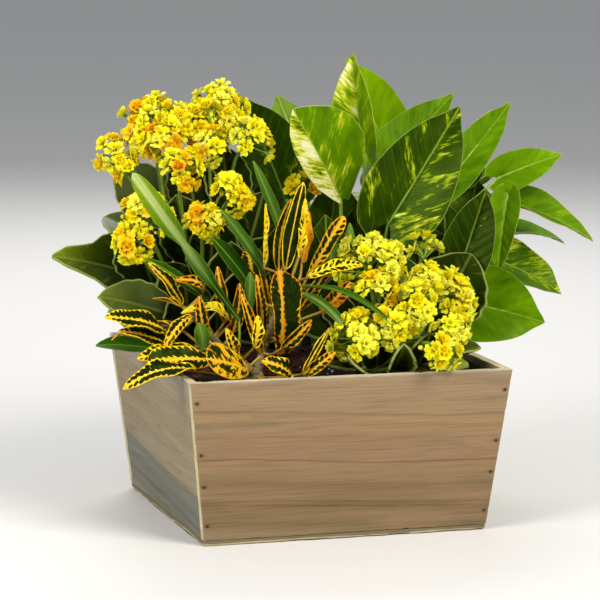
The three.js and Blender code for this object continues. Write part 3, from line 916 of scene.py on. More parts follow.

# Foot on the soil, the leaf's own number, foot and tip of the blade, width, tone (lightness,
# which holds painted shade and light: leaves in shadow are darker, lit ones brighter; marbling and
# the half that has more), the way it looks, bow, fold, and its own bends. The frame has the first
# leaves; those after them stand deeper in the plant and on its back, mostly in shade, and are
# painted dark for it.
POTHOS_LEAVES = [
    [(40, 38), 1, (32, 20, 207), (-9, 5, 268), 48, (0.5, 0.475, -0.7), (-2, -9, 4), 0.05, 12,
     {"outline": broad_ended, "hook": 0.03, "curl": 0.14, "lopsided": 0.32, "lobe": 0.05}],
    [(52, 46), 2, (56, 44, 236), (49, 50, 303), 40, (0.66, 0.46, -0.35), (-6, -7, 0), 0.06, 34,
     {"curl": 0.1}],
    [(60, 62), 3, (92, 106, 232), (58, 92, 297), 46, (0.9, 0.3, 0), (1, -9, 3), 0.02, 16, {"curl": 0.2}],
    [(66, 50), 4, (75, 70, 224), (144, 100, 268), 38, (0.56, 0.3, 0), (-3, -9, 4), -0.03, 18,
     {"hook": -0.05}],
    [(54, 32), 5, (62, 10, 190), (114, 10, 268), 60, (0.18, 0.39, 0.1), (-2, -9, 3), 0.08, 14,
     {"curl": 0.16, "hook": -0.02}],
    [(71, 58), 6, (114, 53, 206), (176, 72, 264), 32, (0.6, 0.33, 0), (-3, -9, 3), 0.06, 22,
     {"hook": -0.04}],
    [(72, 40), 7, (151, 39, 216), (195, 29, 233), 29, (0.66, 0.28, 0), (1, -8, 5), 0.05, 8,
     {"wave": 0.6, "via": [(118, 28, 190)]}],
    [(76, 52), 8, (160, 48, 200), (216, 20, 173), 34, (0.6, 0.34, 0), (3, -6, 8), 0.05, 25],
    [(66, 32), 9, (110, 0, 158), (131, 6, 213), 38, (0.02, 0.3, 0.3), (-3, -9, 1), 0.03, 20],
    [(80, 42), 10, (153, 23, 206), (142, 10, 153), 24, (0.68, 0.28, 0), (-6, -8, 2), 0.05, 18,
     {"wave": 0.6, "via": [(126, 40, 180), (149, 31, 208)]}],
    [(68, 70), 11, (168, 62, 175), (217, 75, 165), 26, (0.66, 0.34, 0), (1, -3, 9), 0.08, 15,
     {"wave": 0.5}],
    [(80, 64), 12, (150, 46, 160), (195, 25, 136), 42, (0.46, 0.42, -0.25), (4, -8, 5), 0.06],
    [(74, 28), 13, (120, 14, 134), (169, -10, 122), 58, (0.62, 0.32, 0), (2, -9, 2), 0.05, 16],
    [(34, 58), 14, (8, 72, 202), (-27, 68, 274), 60, (0.12, 0.34, 0), (1, -9, 3), 0.05, 20],
    [(50, 70), 15, (60, 100, 190), (64, 165, 186), 52, (0.5, 0.42, 0.2), (0, 2, 9), 0.08, 12],
]
MORE_POTHOS = [
    [(52, 42), 71, (54, 34, 146), (58, 34, 212), 60, (0.05, 0.3, 0)],
    [(66, 44), 72, (96, 24, 136), (94, 30, 190), 54, (0.05, 0.3, 0)],
    [(36, 44), 73, (20, 20, 136), (22, 24, 196), 56, (0.05, 0.3, 0)],
    [(28, 56), 74, (-22, 44, 150), (-16, 50, 216), 58, (0.05, 0.3, 0)],
    [(60, 86), 75, (64, 112, 130), (70, 158, 118), 44, (0.5, 0.4, 0.2), (0, 6, 7), 0.1],
    [(86, 50), 76, (132, 60, 132), (176, 70, 118), 40, (0.5, 0.4, 0), (5, -1, 8), 0.1],
    [(20, 84), 77, (4, 108, 130), (-24, 142, 118), 42, (0.45, 0.38, 0), (-2, 5, 8), 0.1],
    [(46, 48), 51, (26, 34, 166), (32, 34, 222), 52, (0.16, 0.3, 0), (1, -9, 2)],
    [(58, 44), 52, (88, 44, 160), (84, 48, 214), 50, (0.1, 0.3, 0), (-1, -9, 2)],
    [(70, 46), 53, (110, 30, 150), (112, 40, 202), 48, (0.08, 0.3, 0), (1, -9, 3), 0.06],
    [(30, 50), 54, (-6, 30, 148), (2, 24, 202), 50, (0.08, 0.3, 0)],
    [(36, 62), 55, (-20, 52, 170), (-34, 58, 226), 44, (0.06, 0.3, 0), (1, -9, 2)],
    [(74, 56), 56, (136, 58, 168), (146, 66, 214), 46, (0.14, 0.3, 0), (-2, -9, 2)],
    [(70, 60), 57, (134, 60, 212), (150, 64, 240), 22, (0.3, 0.3, 0), (-5, -8, 2), 0.05, 16],
    [(78, 56), 58, (148, 68, 212), (163, 70, 219), 11, (0.6, 0.3, 0), (0, -7, 6), 0.05, 16],
    [(30, 76), 59, (10, 110, 190), (-10, 160, 206), 46, (0.45, 0.4, 0.2), (-2, 5, 8), 0.08],
    [(58, 80), 60, (100, 118, 180), (134, 158, 172), 46, (0.55, 0.38, -0.2), (2, 5, 8), 0.1],
    [(46, 80), 61, (40, 112, 148), (30, 162, 128), 44, (0.4, 0.42, 0.2), (-1, 6, 7), 0.12],
    [(70, 78), 62, (104, 112, 140), (122, 160, 124), 42, (0.5, 0.36, 0), (2, 6, 6), 0.12],
    [(82, 70), 63, (140, 100, 164), (182, 124, 150), 40, (0.6, 0.4, 0.2), (5, 3, 8), 0.1],
    [(40, 66), 64, (30, 110, 232), (24, 146, 268), 42, (0.55, 0.3, 0), (0, 8, 4), 0.05, 16],
    [(64, 72), 65, (88, 118, 214), (106, 152, 238), 40, (0.62, 0.36, 0), (2, 7, 5)],
]
plant("golden_leaf", "pothos_leaf", len(POTHOS_LEAVES), POTHOS, POTHOS_LEAVES + MORE_POTHOS,
      lambda leaf: [(*leaf["hold"], SOIL - 2), (*leaf["hold"], SOIL + 6), *leaf["via"]])

# ---------------------------------------------------------------- kalanchoe stems and leaves
# Two kalanchoes: a round fleshy stem each, ringed where old leaves have dropped, and thick oval
# leaves with a scalloped edge. They are dull dark olive, with a grey bloom and a pale rim.

# The stem's radius in millimetres, and how much thicker and how long a joint is, as shares.
KALANCHOE_STEM = 4.0
JOINT_SWELL = 0.22
JOINT_LONG = 0.02


def kalanchoe_surface(name, under):
    finish, tree = new_finish(name)
    across, along, inward = read(tree, "on_blade").split()
    tone, bloom, painted_tip_light = read(tree, "leaf_tone").split()
    cloud = grain(own_place(tree), 45, 4, 0.6)
    fine = grain(own_place(tree), 420, 3, 0.6)
    out = abs(across)
    # Each leaf's lightness holds painted shade and light, and its tip is painted lighter, for the light on
    # it.
    shade = tone + (cloud - 0.5) * 0.4 + (along * 0.01 - 0.4) * painted_tip_light
    colour = ramp(
        shade, (0.0, "0f1a01"), (0.3, "263602"), (0.6, "4b5804"), (0.85, "75800c"), (1.0, "959f20"))
    net = vein_noise(across, along, 0.8, 3.4, 12, 2)
    colour = layered(
        colour, (bloom * cloud.spread(0.3, 0.65, 0.45, 1.0), "8b9272"),
        (net.spread(0.58, 0.7, 0, 0.22), "8c9a3a"), (out.spread(0.4, 1.6, 0.4, 0), "8a9a3e"),
        (inward.spread(0.3, 1.5, 0.7, 0), "a4ae5c"), (0.3 if under else 0, "7f8f4c"))
    leaf_glaze(colour, 0.46, net * 0.7 + fine * 0.3, 0.2 * MM, 0.14, 0.2)
    return finish


def oval(v):
    """An oval with a scalloped edge."""
    return np.sin(np.pi * np.clip(v, 0, 1) ** 1.15) ** 0.68 * (1 + 0.028 * np.cos(2 * np.pi * 6.5 * v))


def drawn_out(v):
    """The outline of a broad leaf that has rolled to a narrow end."""
    return np.interp(v, [0, 0.08, 0.24, 0.5, 0.59, 0.67, 0.77, 0.9, 1],
                     [0.2, 0.62, 0.95, 1.08, 0.93, 0.62, 0.47, 0.33, 0.06])


KALANCHOE = {
    "slot": "kalanchoe_leaf", "outline": oval, "lobe": 0.0, "thickness": 1.5, "stalk": 1.7,
    "across": 18, "along": 46, "wave": 0.9, "waves": 1.0, "quilt": 0.12, "vein_gap": 9.0,
    "slant": 0.8, "groove": 0.6, "face": (0, -9, 2), "arch": 0.05, "fold": 12,
    "finishes": [kalanchoe_surface("kalanchoe_face", False), kalanchoe_surface("kalanchoe_underside", True),
                 stalk_surface("kalanchoe_green", "3c5410", "7f9a36")],
}


def stem_along(points, thickness):
    """A stem through some points, rounded off at its end, and its path to hang leaves on."""
    path = smooth_path(points, 12)
    radii = thickness(np.linspace(0, 1, len(path)))
    radii[-1] *= 0.5
    return path, rod(path, radii, 3)


def kalanchoe_stem(side, points, joints):
    """A stem that is swollen a little at each joint."""
    path, stem = stem_along(points, lambda share: KALANCHOE_STEM * (
        1 - 0.18 * share
        + sum(JOINT_SWELL * np.exp(-((share - joint) / JOINT_LONG) ** 2) for joint in joints)))
    set_tone(stem, 0.5, 0, 0)
    dress(stem, KALANCHOE["finishes"][2])
    smooth(stem, 60)
    settle(stem, f"kalanchoe_{side}_stalk", "kalanchoe_leaf", f"kalanchoe_{side}_stem")
    return path


def seat_on_stem(path, share, toward, radius, rise=6.0):
    """From inside the stem, part of the way up it, out through the side that looks at a point."""
    def at(level):
        return np.array([np.interp(level, np.linspace(0, 1, len(path)), path[:, axis]) for axis in range(3)])

    centre = at(share)
    tangent = unit(at(min(1, share + 0.03)) - at(max(0, share - 0.03)))
    out = np.array(toward, float) - centre
    out = unit(out - tangent * out.dot(tangent))
    return [centre + out * radius * 0.4, centre + out * (radius + 0.3 + rise)]


back_stem = kalanchoe_stem(
    "back", [(-54, 52, SOIL - 2), (-54, 52, 106.3), (-60, 48, 130), (-66, 42, 166)],
    (0.12, 0.25, 0.38, 0.52, 0.66, 0.8))
front_stem = kalanchoe_stem(
    "front", [(50, -50, SOIL - 2), (50, -50, 106.3), (52, -48, 128)], (0.25, 0.42, 0.6, 0.78))

# How far up the stem, then as for the pothos, whose lightness holds painted shade and light; the
# tone is lightness, grey bloom and how much lighter the tip is painted, for the light on it. The
# first four and the first three rows are the frame's own leaves.
BACK_LEAVES = [
    [0.5, 21, (-86, 40, 150), (-165, 30, 173), 50, (0.18, 0, 1.2), (1, -7, 7), 0.04, 15,
     {"wave": 1.6, "outline": drawn_out}],
    [0.3, 22, (-76, 14, 128), (-142, -4, 150), 34, (0.42, 0.14, 0.8), (2, -8, 5)],
    [0.7, 23, (-72, 66, 186), (-114, 62, 228), 40, (0.5, 0.3, 0.6), (-1, -9, 2), 0.05, 10],
    [0.4, 24, (-70, 84, 138), (-96, 140, 150), 42, (0.45, 0.1, 0.5), (-1, 2, 9), 0.06],
    [0.25, 25, (-56, 78, 118), (-60, 136, 116), 36, (0.4, 0.05, 0.5), (0, 3, 9), 0.09, 14],
    [0.35, 26, (-34, 74, 132), (-6, 122, 148), 36, (0.5, 0.08, 0.5), (1, 3, 9), 0.08],
    [0.18, 27, (-80, 74, 116), (-102, 120, 122), 36, (0.4, 0.04, 0.5), (-2, 2, 9), 0.07],
    [0.55, 28, (-52, 24, 136), (-50, 2, 182), 34, (0.12, 0, 0.2)],
    [0.45, 29, (-34, 38, 144), (-10, 20, 182), 36, (0.08, 0, 0.2), (-1, -9, 2)],
    [0.3, 30, (-30, 56, 124), (22, 62, 138), 34, (0.3, 0.05, 0.3), (-1, -2, 9), 0.06],
    [0.6, 31, (-82, 60, 168), (-112, 104, 190), 34, (0.4, 0.1, 0.4), (-5, 5, 7), 0.06],
    [0.75, 32, (-54, 62, 178), (-34, 96, 204), 32, (0.4, 0.12, 0.4), (3, 7, 6), 0.06],
    [0.35, 33, (-72, 30, 122), (-92, 14, 168), 40, (0.06, 0, 0.2), (1, -9, 2)],
    [0.65, 34, (-70, 34, 160), (-82, 24, 212), 38, (0.1, 0, 0.2), (0, -9, 1)],
    [0.7, 35, (-44, 40, 168), (-34, 34, 218), 40, (0.05, 0, 0.2), (1, -9, 1)],
    [0.2, 36, (-40, 26, 114), (-14, 4, 142), 36, (0.05, 0, 0.2), (0, -9, 3)],
    [0.3, 37, (-84, 34, 118), (-124, 20, 132), 32, (0.2, 0.1, 0.5), (0, -7, 6)],
    [0.15, 38, (-76, 28, 108), (-96, 4, 128), 34, (0.05, 0, 0.2), (0, -9, 3)],
    [0.2, 39, (-56, 22, 108), (-62, -4, 136), 36, (0.04, 0, 0.2), (0, -9, 3)],
    [0.15, 40, (-24, 30, 108), (4, 14, 134), 36, (0.04, 0, 0.2), (0, -9, 3)],
    [0.6, 56, (-36, 34, 156), (-20, 30, 212), 38, (0.06, 0, 0.2), (0, -9, 1)],
    [0.25, 58, (-48, 24, 114), (-46, -12, 166), 40, (0.05, 0, 0.2)],
    [0.25, 59, (-74, 26, 114), (-84, -4, 158), 38, (0.05, 0, 0.2)],
    [0.5, 60, (-60, 26, 148), (-60, 12, 198), 38, (0.05, 0, 0.2), (0, -9, 1)],
    [0.5, 57, (-96, 36, 150), (-110, 30, 192), 46, (0.1, 0, 0.2)],
    [0.75, 63, (-40, 36, 190), (-47, 40, 243), 34, (0.06, 0, 0.2), (0, -9, 1)],
    [0.75, 64, (-64, 36, 190), (-74, 40, 240), 36, (0.06, 0, 0.2), (0, -9, 1)],
]
FRONT_LEAVES = [
    [0.4, 41, (86, -6, 114), (114, -12, 171), 54, (0.12, 0, 0.3), (-4, -8, 1), 0.02, 20, {"curl": 0.3}],
    [0.25, 42, (38, -72, 104), (38, -95, 124), 18, (0.3, 0, 0), (0, -8, 5), 0.05, 10, {"curl": 0.9}],
    [0.3, 43, (76, -62, 106), (98, -74, 118), 18, (0.5, 0.1, 0), (3, -5, 8), 0.05, 10, {"curl": 0.5}],
    [0.12, 44, (62, -72, 105), (84, -90, 109), 20, (0.95, 0.1, 0), (1, -3, 9), 0.04, 6],
    [0.2, 45, (16, -74, 104), (2, -94, 118), 18, (0.34, 0, 0), (-2, -8, 5), 0.05, 10, {"curl": 0.9}],
    [0.35, 46, (46, -22, 118), (40, 26, 134), 34, (0.4, 0.05, 0.3), (0, 3, 9), 0.07],
    [0.3, 47, (26, -40, 116), (-14, -20, 130), 30, (0.2, 0, 0.3), (-1, -4, 8), 0.06],
    [0.3, 48, (22, -62, 108), (-10, -80, 112), 26, (0.14, 0, 0.2), (-1, -5, 8), 0.06],
    [0.5, 49, (74, -34, 120), (112, 4, 138), 32, (0.35, 0.05, 0.3), (3, 0, 9), 0.07],
    [0.5, 50, (64, -72, 114), (76, -92, 126), 22, (0.4, 0.05, 0), (1, -8, 5)],
    [0.6, 51, (52, -28, 124), (60, -8, 166), 42, (0.08, 0, 0.2)],
    [0.5, 52, (70, -30, 118), (92, -10, 158), 42, (0.06, 0, 0.2), (1, -9, 2)],
    [0.5, 53, (30, -34, 118), (18, -14, 160), 42, (0.06, 0, 0.2), (-1, -9, 2)],
    [0.3, 61, (24, -34, 110), (-6, -16, 154), 38, (0.05, 0, 0.2)],
    [0.6, 62, (56, -30, 124), (62, -18, 172), 40, (0.05, 0, 0.2)],
    [0.35, 54, (30, -66, 106), (22, -84, 126), 26, (0.1, 0, 0.2), (-1, -9, 3)],
    [0.35, 55, (56, -70, 106), (58, -88, 130), 26, (0.12, 0, 0.2), (1, -9, 3)],
]
for side, stem, count, rows in (("back", back_stem, 4, BACK_LEAVES), ("front", front_stem, 3, FRONT_LEAVES)):
    plant(f"{side}_oval_leaf", f"kalanchoe_{side}_leaf", count, KALANCHOE, rows,
          lambda leaf: seat_on_stem(stem, leaf["hold"], leaf["base"], KALANCHOE_STEM))

# ---------------------------------------------------------------- kalanchoe flowers
# Each head is a dome of small double flowers on a thin branched stalk: rounded waxy petals in two
# rings, lemon to golden yellow, some still in bud. Flowers and buds are shaped once from cones,
# then set out over every head, each with its own turn, tilt, size and shade.

# The length of an outer petal; how far a spray's flowers stand from its middle, in millimetres;
# and how much of a head's dome each spray covers, in square millimetres.
FLOWER = 7.2 * MM
SPRAY_REACH = 10.4
SPRAY_AREA = 500

petals, tree = new_finish("kalanchoe_petals")
out = read(tree, "in_flower", "Fac")
mottle = grain(own_place(tree), 700)
# Golden toward the eye, the flower's own deeper middle, and over the inner cup, painted shade in its hollow;
# the petal tips are lighter, a painted highlight.
colour = layered(
    ramp(read(tree, "leaf_tone").split()[0], (0.0, "f9fc5a"), (0.16, "f8fa28"), (0.4, "f8f00c"),
         (0.72, "f6d804"), (1.0, "f2b206")),
    (out.spread(0.06, 0.3, 0.6, 0), "c09206"), (out.spread(0.3, 0.7, 0.22, 0), "e2a406"),
    (out.spread(0.7, 1.0, 0, 0.4), "faf44a"), (mottle.spread(0.5, 0.75, 0, 0.16), "eec010"))
lit_through(glaze(colour, 0.5, mottle, 0.1 * MM, 0.5, 0.2, (1, 0.95, 0.3, 1)),
            tint(0.3, colour, "fcf008"), 0.42)
pedicel_green = stalk_surface("kalanchoe_pedicel", "3f6410", "8fb032")


def petal_blank(outline, centre):
    """A petal from a low cone: its foot ring becomes the outline and its point the bulge."""
    blank = begun(
        bpy.ops.mesh.primitive_cone_add, vertices=len(outline), radius1=1, radius2=0, depth=0.3)
    points = points_of(blank)
    top = int(np.argmax(points[:, 2]))
    ring = sorted((i for i in range(len(points)) if i != top),
                  key=lambda i: math.atan2(points[i, 0], points[i, 1]) % (2 * math.pi))
    for step, i in enumerate(ring):
        points[i] = outline[step]
    points[top] = centre
    move_points(blank, points * FLOWER)
    # Every second edge that meets at the point goes, which leaves a petal of a few faces.
    kept = set(ring[::2])
    with editing(blank, "EDGE", lambda e: top in e.vertices and not kept & set(e.vertices)):
        bpy.ops.mesh.dissolve_edges(use_verts=False)
    dress(blank, petals)
    return blank


def green_cone(foot, top, depth, height):
    """A five-sided eye or cup; its sizes are in flower lengths."""
    cone = begun(
        bpy.ops.mesh.primitive_cone_add, vertices=5, radius1=foot * FLOWER, radius2=top * FLOWER,
        depth=depth * FLOWER, location=(0, 0, height * FLOWER))
    dress(cone, pedicel_green)
    return cone


def marked(flower):
    """Notes how far each point lies from the flower's middle, in flower lengths."""
    x, y, z = points_of(flower).T / FLOWER
    write(flower, "in_flower", np.hypot(x, y) + 0.35 * np.maximum(z, 0))
    return flower


def blossom(outer_tilt, inner_tilt, seed):
    """Five rounded petals, five smaller ones raised inside them, a green eye and a green cup."""
    random.seed(seed)
    outer = petal_blank(
        [(0, 0.06, 0), (0.2, 0.34, 0.0), (0.43, 0.70, 0.07), (0.27, 1.0, 0.02), (0, 0.93, 0.07),
         (-0.27, 1.0, 0.02), (-0.43, 0.70, 0.07), (-0.2, 0.34, 0.0)], (0, 0.62, 0.16))
    inner = petal_blank(
        [(0, 0.05, 0.02), (0.26, 0.40, 0.08), (0.2, 0.70, 0.06), (0, 0.64, 0.12), (-0.2, 0.70, 0.06),
         (-0.26, 0.40, 0.08)], (0, 0.42, 0.17))
    parts = []
    for ring, (blank, tilt, lift) in enumerate(((outer, outer_tilt, 0), (inner, inner_tilt, 0.12))):
        for k in range(5):
            turn = math.radians(72 * k + 36 * ring + random.uniform(-7, 7))
            lean = math.radians(tilt + random.uniform(-9, 9))
            size = random.uniform(0.9, 1.06)
            parts.append(copy_of(blank, (
                Matrix.Rotation(turn, 4, "Z") @ Matrix.Translation((0, 0.04 * FLOWER, lift * FLOWER))
                @ Matrix.Rotation(lean, 4, "X") @ Matrix.Scale(size, 4))))
        bpy.data.objects.remove(blank)
    return marked(joined([*parts, green_cone(0.14, 0.07, 0.3, 0.15), green_cone(0.09, 0.24, 0.5, -0.2)]))


def flower_bud():
    """A closed bud: a ball drawn to a blunt point, in a green cup."""
    ball = begun(bpy.ops.mesh.primitive_ico_sphere_add, subdivisions=1, radius=0.24 * FLOWER)
    move_points(ball, points_of(ball) * (1, 1, 1.2) + (0, 0, 0.16 * FLOWER))
    dress(ball, petals)
    return marked(joined([ball, green_cone(0.08, 0.24, 0.3, -0.05)]))


flower_kinds = [blossom(8, 42, 1), blossom(18, 52, 2), blossom(40, 66, 3), flower_bud()]
pedicel = begun(
    bpy.ops.mesh.primitive_cone_add, vertices=4, radius1=0.45 * MM, radius2=0.6 * MM, depth=1,
    location=(0, 0, 0.5))
dress(pedicel, pedicel_green)


def facing(spot, way, turn=0.0):
    """A place on the head, in millimetres, that looks one way, turned about that way."""
    look = Vector(way).to_track_quat("Z", "Y").to_matrix().to_4x4()
    return Matrix.Translation(Vector(spot) * MM) @ look @ Matrix.Rotation(turn, 4, "Z")


def head_of_flowers(name, stem, share, centre, axis, radius, depth, seed, tone, buds, *nodes):
    """A head: sprays of five or six flowers each, spread over the dome, on a branched stalk."""
    random.seed(seed)
    up = unit(axis)
    side = unit(np.cross(up, (0.3, 0.2, 0.9) if abs(up[2]) < 0.8 else (1, 0, 0)))
    other = np.cross(up, side)
    under, above = centre - up * 0.35 * depth, 0.65 * depth
    pieces = []

    def add(piece, matrix, shade):
        made = copy_of(piece, matrix)
        set_tone(made, shade, 0, 0)
        pieces.append(made)

    def branch(start, end, thick):
        run = np.array(end) - start
        long = np.linalg.norm(run) * MM
        add(pedicel, facing(start, run) @ Matrix.Diagonal((thick, thick, long, 1)),
            random.uniform(0.2, 0.8))

    golden = math.pi * (3 - math.sqrt(5))
    area = 2 * math.pi * (radius * radius + 2 * radius * above) / 3
    sprays = max(1, round(area / SPRAY_AREA))
    for k in range(sprays):
        tilt = math.acos(max(-0.1, 1 - (k + 0.35) / sprays * 1.1))
        turn = golden * k + random.uniform(-0.4, 0.4)
        sway = math.cos(turn) * side + math.sin(turn) * other
        swell = random.uniform(0.8, 1.0)
        middle = centre + (sway * max(0, radius - SPRAY_REACH) * math.sin(tilt)
                           + up * max(0, above - SPRAY_REACH) * math.cos(tilt)) * swell
        out = unit(sway * math.sin(tilt) / radius + up * math.cos(tilt) / above + np.array([0, 0, 0.008]))
        hub = middle - out * 5
        if sprays > 1:
            branch(under + up, hub, 1.5)
        right = unit(np.cross(out, (0.21, 0.94, 0.33)))
        ahead = np.cross(out, right)
        # One flower looks straight out, three or four stand round it, and one hangs below them.
        ring = random.choice((3, 4, 4))
        start = random.uniform(0, 6.3)
        for j in range(ring + 2):
            if j == 0:
                lean, spin = 0.0, 0.0
            elif j <= ring:
                lean, spin = random.uniform(0.75, 1.05), start + 2 * math.pi * j / ring
            else:
                lean, spin = random.uniform(1.4, 1.8), start + math.pi * (j + 0.4)
            spin += random.uniform(-0.2, 0.2)
            way = out * math.cos(lean) + (right * math.cos(spin) + ahead * math.sin(spin)) * math.sin(lean)
            spot = middle + way * SPRAY_REACH * random.uniform(0.7, 1.08)
            chance = random.random()
            kind = 3 if chance < buds else 2 if chance < buds + 0.14 else 1 if chance < buds + 0.5 else 0
            look = unit(way + np.array([random.uniform(-0.28, 0.28) for _ in range(3)]) + (0, -0.1, 0.12))
            # The flower that hangs below its spray is painted a deeper gold, as shade.
            tone_with_painted_shade = tone + (0.08 if j > ring else -0.02)
            shade = min(1, max(0, random.gauss(tone_with_painted_shade, 0.26))) if kind < 3 else random.uniform(0, 0.3)
            size = Matrix.Scale(random.uniform(0.86, 1.08), 4)
            add(flower_kinds[kind], facing(spot, look, random.uniform(0, 6.3)) @ size, shade)
            branch(hub, spot - look * 2.0, 0.9)
            if random.random() < buds:
                shy = middle + unit(way + np.cross(way, look + right) * 1.2) * SPRAY_REACH * 0.86
                add(flower_kinds[3], facing(shy, way) @ Matrix.Scale(random.uniform(0.6, 0.9), 4),
                    random.uniform(0, 0.3))
                branch(hub, shy - way * 1.4, 0.7)
    seat = seat_on_stem(stem, share, under, KALANCHOE_STEM)
    path = smooth_path([*seat, under - up * 6, under + up * 2], 8)
    shaft = rod(path, np.linspace(1.7, 1.15, len(path)), 2)
    set_tone(shaft, 0.5, 0, 0)
    dress(shaft, pedicel_green)
    settle(joined([*pieces, shaft]), name, "kalanchoe_petal", *nodes)


# How far up the stem, middle of the dome, the way it looks, radius, depth, seed, shade, buds.
BACK_HEADS = [
    [0.9, (-92, 40, 252), (-1, -3, 9), 29, 38, 1, 0.42, 0.08],
    [0.98, (-46, 48, 264), (2, -3, 9), 20, 28, 2, 0.25, 0.14],
    [0.86, (-34, 24, 246), (4, -4, 8), 18, 24, 3, 0.25, 0.3],
    [0.78, (-86, 0, 230), (-1, -6, 8), 16, 20, 4, 0.45, 0.06],
    [0.6, (-108, 0, 200), (-2, -7, 6), 19, 24, 5, 0.35, 0.14],
    [0.68, (-54, -8, 214), (2, -7, 7), 16, 24, 6, 0.35, 0.2],
    [0.8, (-122, 32, 240), (-6, -5, 6), 14, 16, 7, 0.35, 0.05],
    [0.94, (-66, 36, 258), (0, -4, 9), 16, 20, 9, 0.4, 0.12],
    [0.9, (-58, 22, 244), (0, -6, 8), 15, 18, 10, 0.36, 0.14],
    [0.82, (-112, 26, 230), (-3, -7, 6), 11, 14, 17, 0.5, 0.1],
    [0.95, (6, 32, 212), (0, -6, 6), 5, 7, 8, 0.7, 0.3],
    [0.55, (-120, -4, 184), (-4, -7, 4), 12, 16, 18, 0.5, 0.14],
    [0.66, (-72, -10, 198), (-1, -8, 5), 12, 16, 19, 0.5, 0.12],
    [0.88, (-95, 18, 248), (-1, -6, 8), 12, 16, 21, 0.4, 0.06],
    [0.94, (-58, 28, 262), (0, -5, 9), 10, 14, 22, 0.34, 0.16],
]
FRONT_HEADS = [
    [0.95, (33, -44, 168), (-1, -4, 9), 24, 34, 11, 0.1, 0.2],
    [0.8, (85, -48, 143), (5, -6, 6), 22, 32, 12, 0.16, 0.14],
    [0.6, (12, -80, 129), (-5, -7, 5), 19, 24, 13, 0.28, 0.16],
    [0.85, (52, -80, 146), (0, -7, 7), 19, 26, 14, 0.2, 0.12],
    [0.7, (55, -110, 124), (1, -9, -1), 14, 18, 15, 0.14, 0.3],
    [0.9, (78, -20, 174), (3, -2, 8), 9, 12, 16, 0.1, 0.4],
    [0.9, (66, -58, 158), (1, -5, 8), 14, 18, 18, 0.14, 0.16],
    [0.75, (34, -84, 136), (-2, -7, 6), 13, 16, 19, 0.12, 0.2],
    [0.8, (72, -86, 132), (3, -8, 4), 13, 16, 20, 0.1, 0.2],
    [0.85, (30, -66, 156), (0, -7, 7), 13, 18, 21, 0.16, 0.16],
]
for side, stem, count, heads in (("back", back_stem, 6, BACK_HEADS), ("front", front_stem, 5, FRONT_HEADS)):
    for i, row in enumerate(heads, 1):
        head_of_flowers(f"{side}_blossom_head_{i:02d}", stem, *row,
                        *own_node(f"kalanchoe_{side}_flower_head", i, count))
for made in (*flower_kinds, pedicel):
    bpy.data.objects.remove(made)

# ---------------------------------------------------------------- croton
# A narrow-leaved croton: three thin grey-brown stems from one crown, and leathery ribbon leaves
# that curl. Blade dark green to almost black, blotched and combed with golden yellow, and the
# midrib and the margin yellow to burnt orange.

# The stems' radius in millimetres, and the crown's place and size.
CROTON_STEM = 2.8
CROWN = Vector((-50 * MM, -51 * MM, SOIL_TOP + 4 * MM))
CROWN_RADIUS = 8 * MM
CROWN_TALL = 9 * MM


def croton_surface(name, under):
    finish, tree = new_finish(name)
    across, along, inward = read(tree, "on_blade").split()
    hot, gold, wide_rib = read(tree, "leaf_tone").split()
    out = abs(across)
    blotch = vein_noise(across, along, 0.8, 5.5, 8, 0, 2)
    fleck = vein_noise(across, along, 0.8, 1.5, 3.2, 4)
    drift = vein_noise(across, along, 0.2, 14, 9, 9, 2)
    bright = ramp(
        hot + (drift - 0.5) * 0.7, (0.0, "f6da1e"), (0.3, "f0bc14"), (0.55, "dd9614"), (0.8, "bd650e"),
        (1.0, "8a3a0a"))
    dark = (blotch * 0.65 + fleck * 0.35 - gold * 0.4).spread(0.22, 0.26)
    green = ramp(fleck, (0.3, "070d02"), (0.5, "121e04"), (0.7, "2c3c09"))
    # Midrib and margin are bright and ragged, with teeth along the side veins, four millimetres
    # apart, that are longer where the blade has more gold.
    comb = (along - out * 0.8).sum("PINGPONG", 2.0)
    tooth = comb.spread(0.2, 1.3, 1, 0) * blotch.spread(0.38, 0.66, 7.0, 0.6, "LINEAR") * gold
    tooth = tooth + (fleck - 0.5) * 1.2
    rib_end = tooth + wide_rib * drift.spread(0.35, 0.65, 0.8, 4.0) + 0.2
    edge = (inward - tooth).spread(0.15, 0.55, 1, 0)
    colour = layered(
        tint(dark, bright, green), ((out - rib_end).spread(-0.25, 0.25, 1, 0), bright), (edge, bright),
        (out.spread(0.3, 0.7, 0.5, 0), "f0c24a"), (0.35 if under else 0, "8f5a26"))
    leaf_glaze(colour, 0.5 if under else 0.34, fleck - edge * 0.4, 0.2 * MM, 0.12, 0.18)
    return finish


stem_paths, stem_pieces = {}, []
for key, points in {
    "tall": [(-48, -50, 99), (-46, -50, 108), (-38, -48, 130), (-24, -42, 164)],
    "left": [(-52, -49, 99), (-55, -48, 108), (-74, -44, 124), (-92, -38, 146)],
    "low": [(-51, -53, 99), (-54, -57, 106), (-62, -62, 110), (-72, -66, 112)],
}.items():
    stem_paths[key], stem = stem_along(
        points, lambda share: CROTON_STEM * (1.05 - 0.35 * share + 0.12 * np.sin(share * 60)))
    stem_pieces.append(stem)
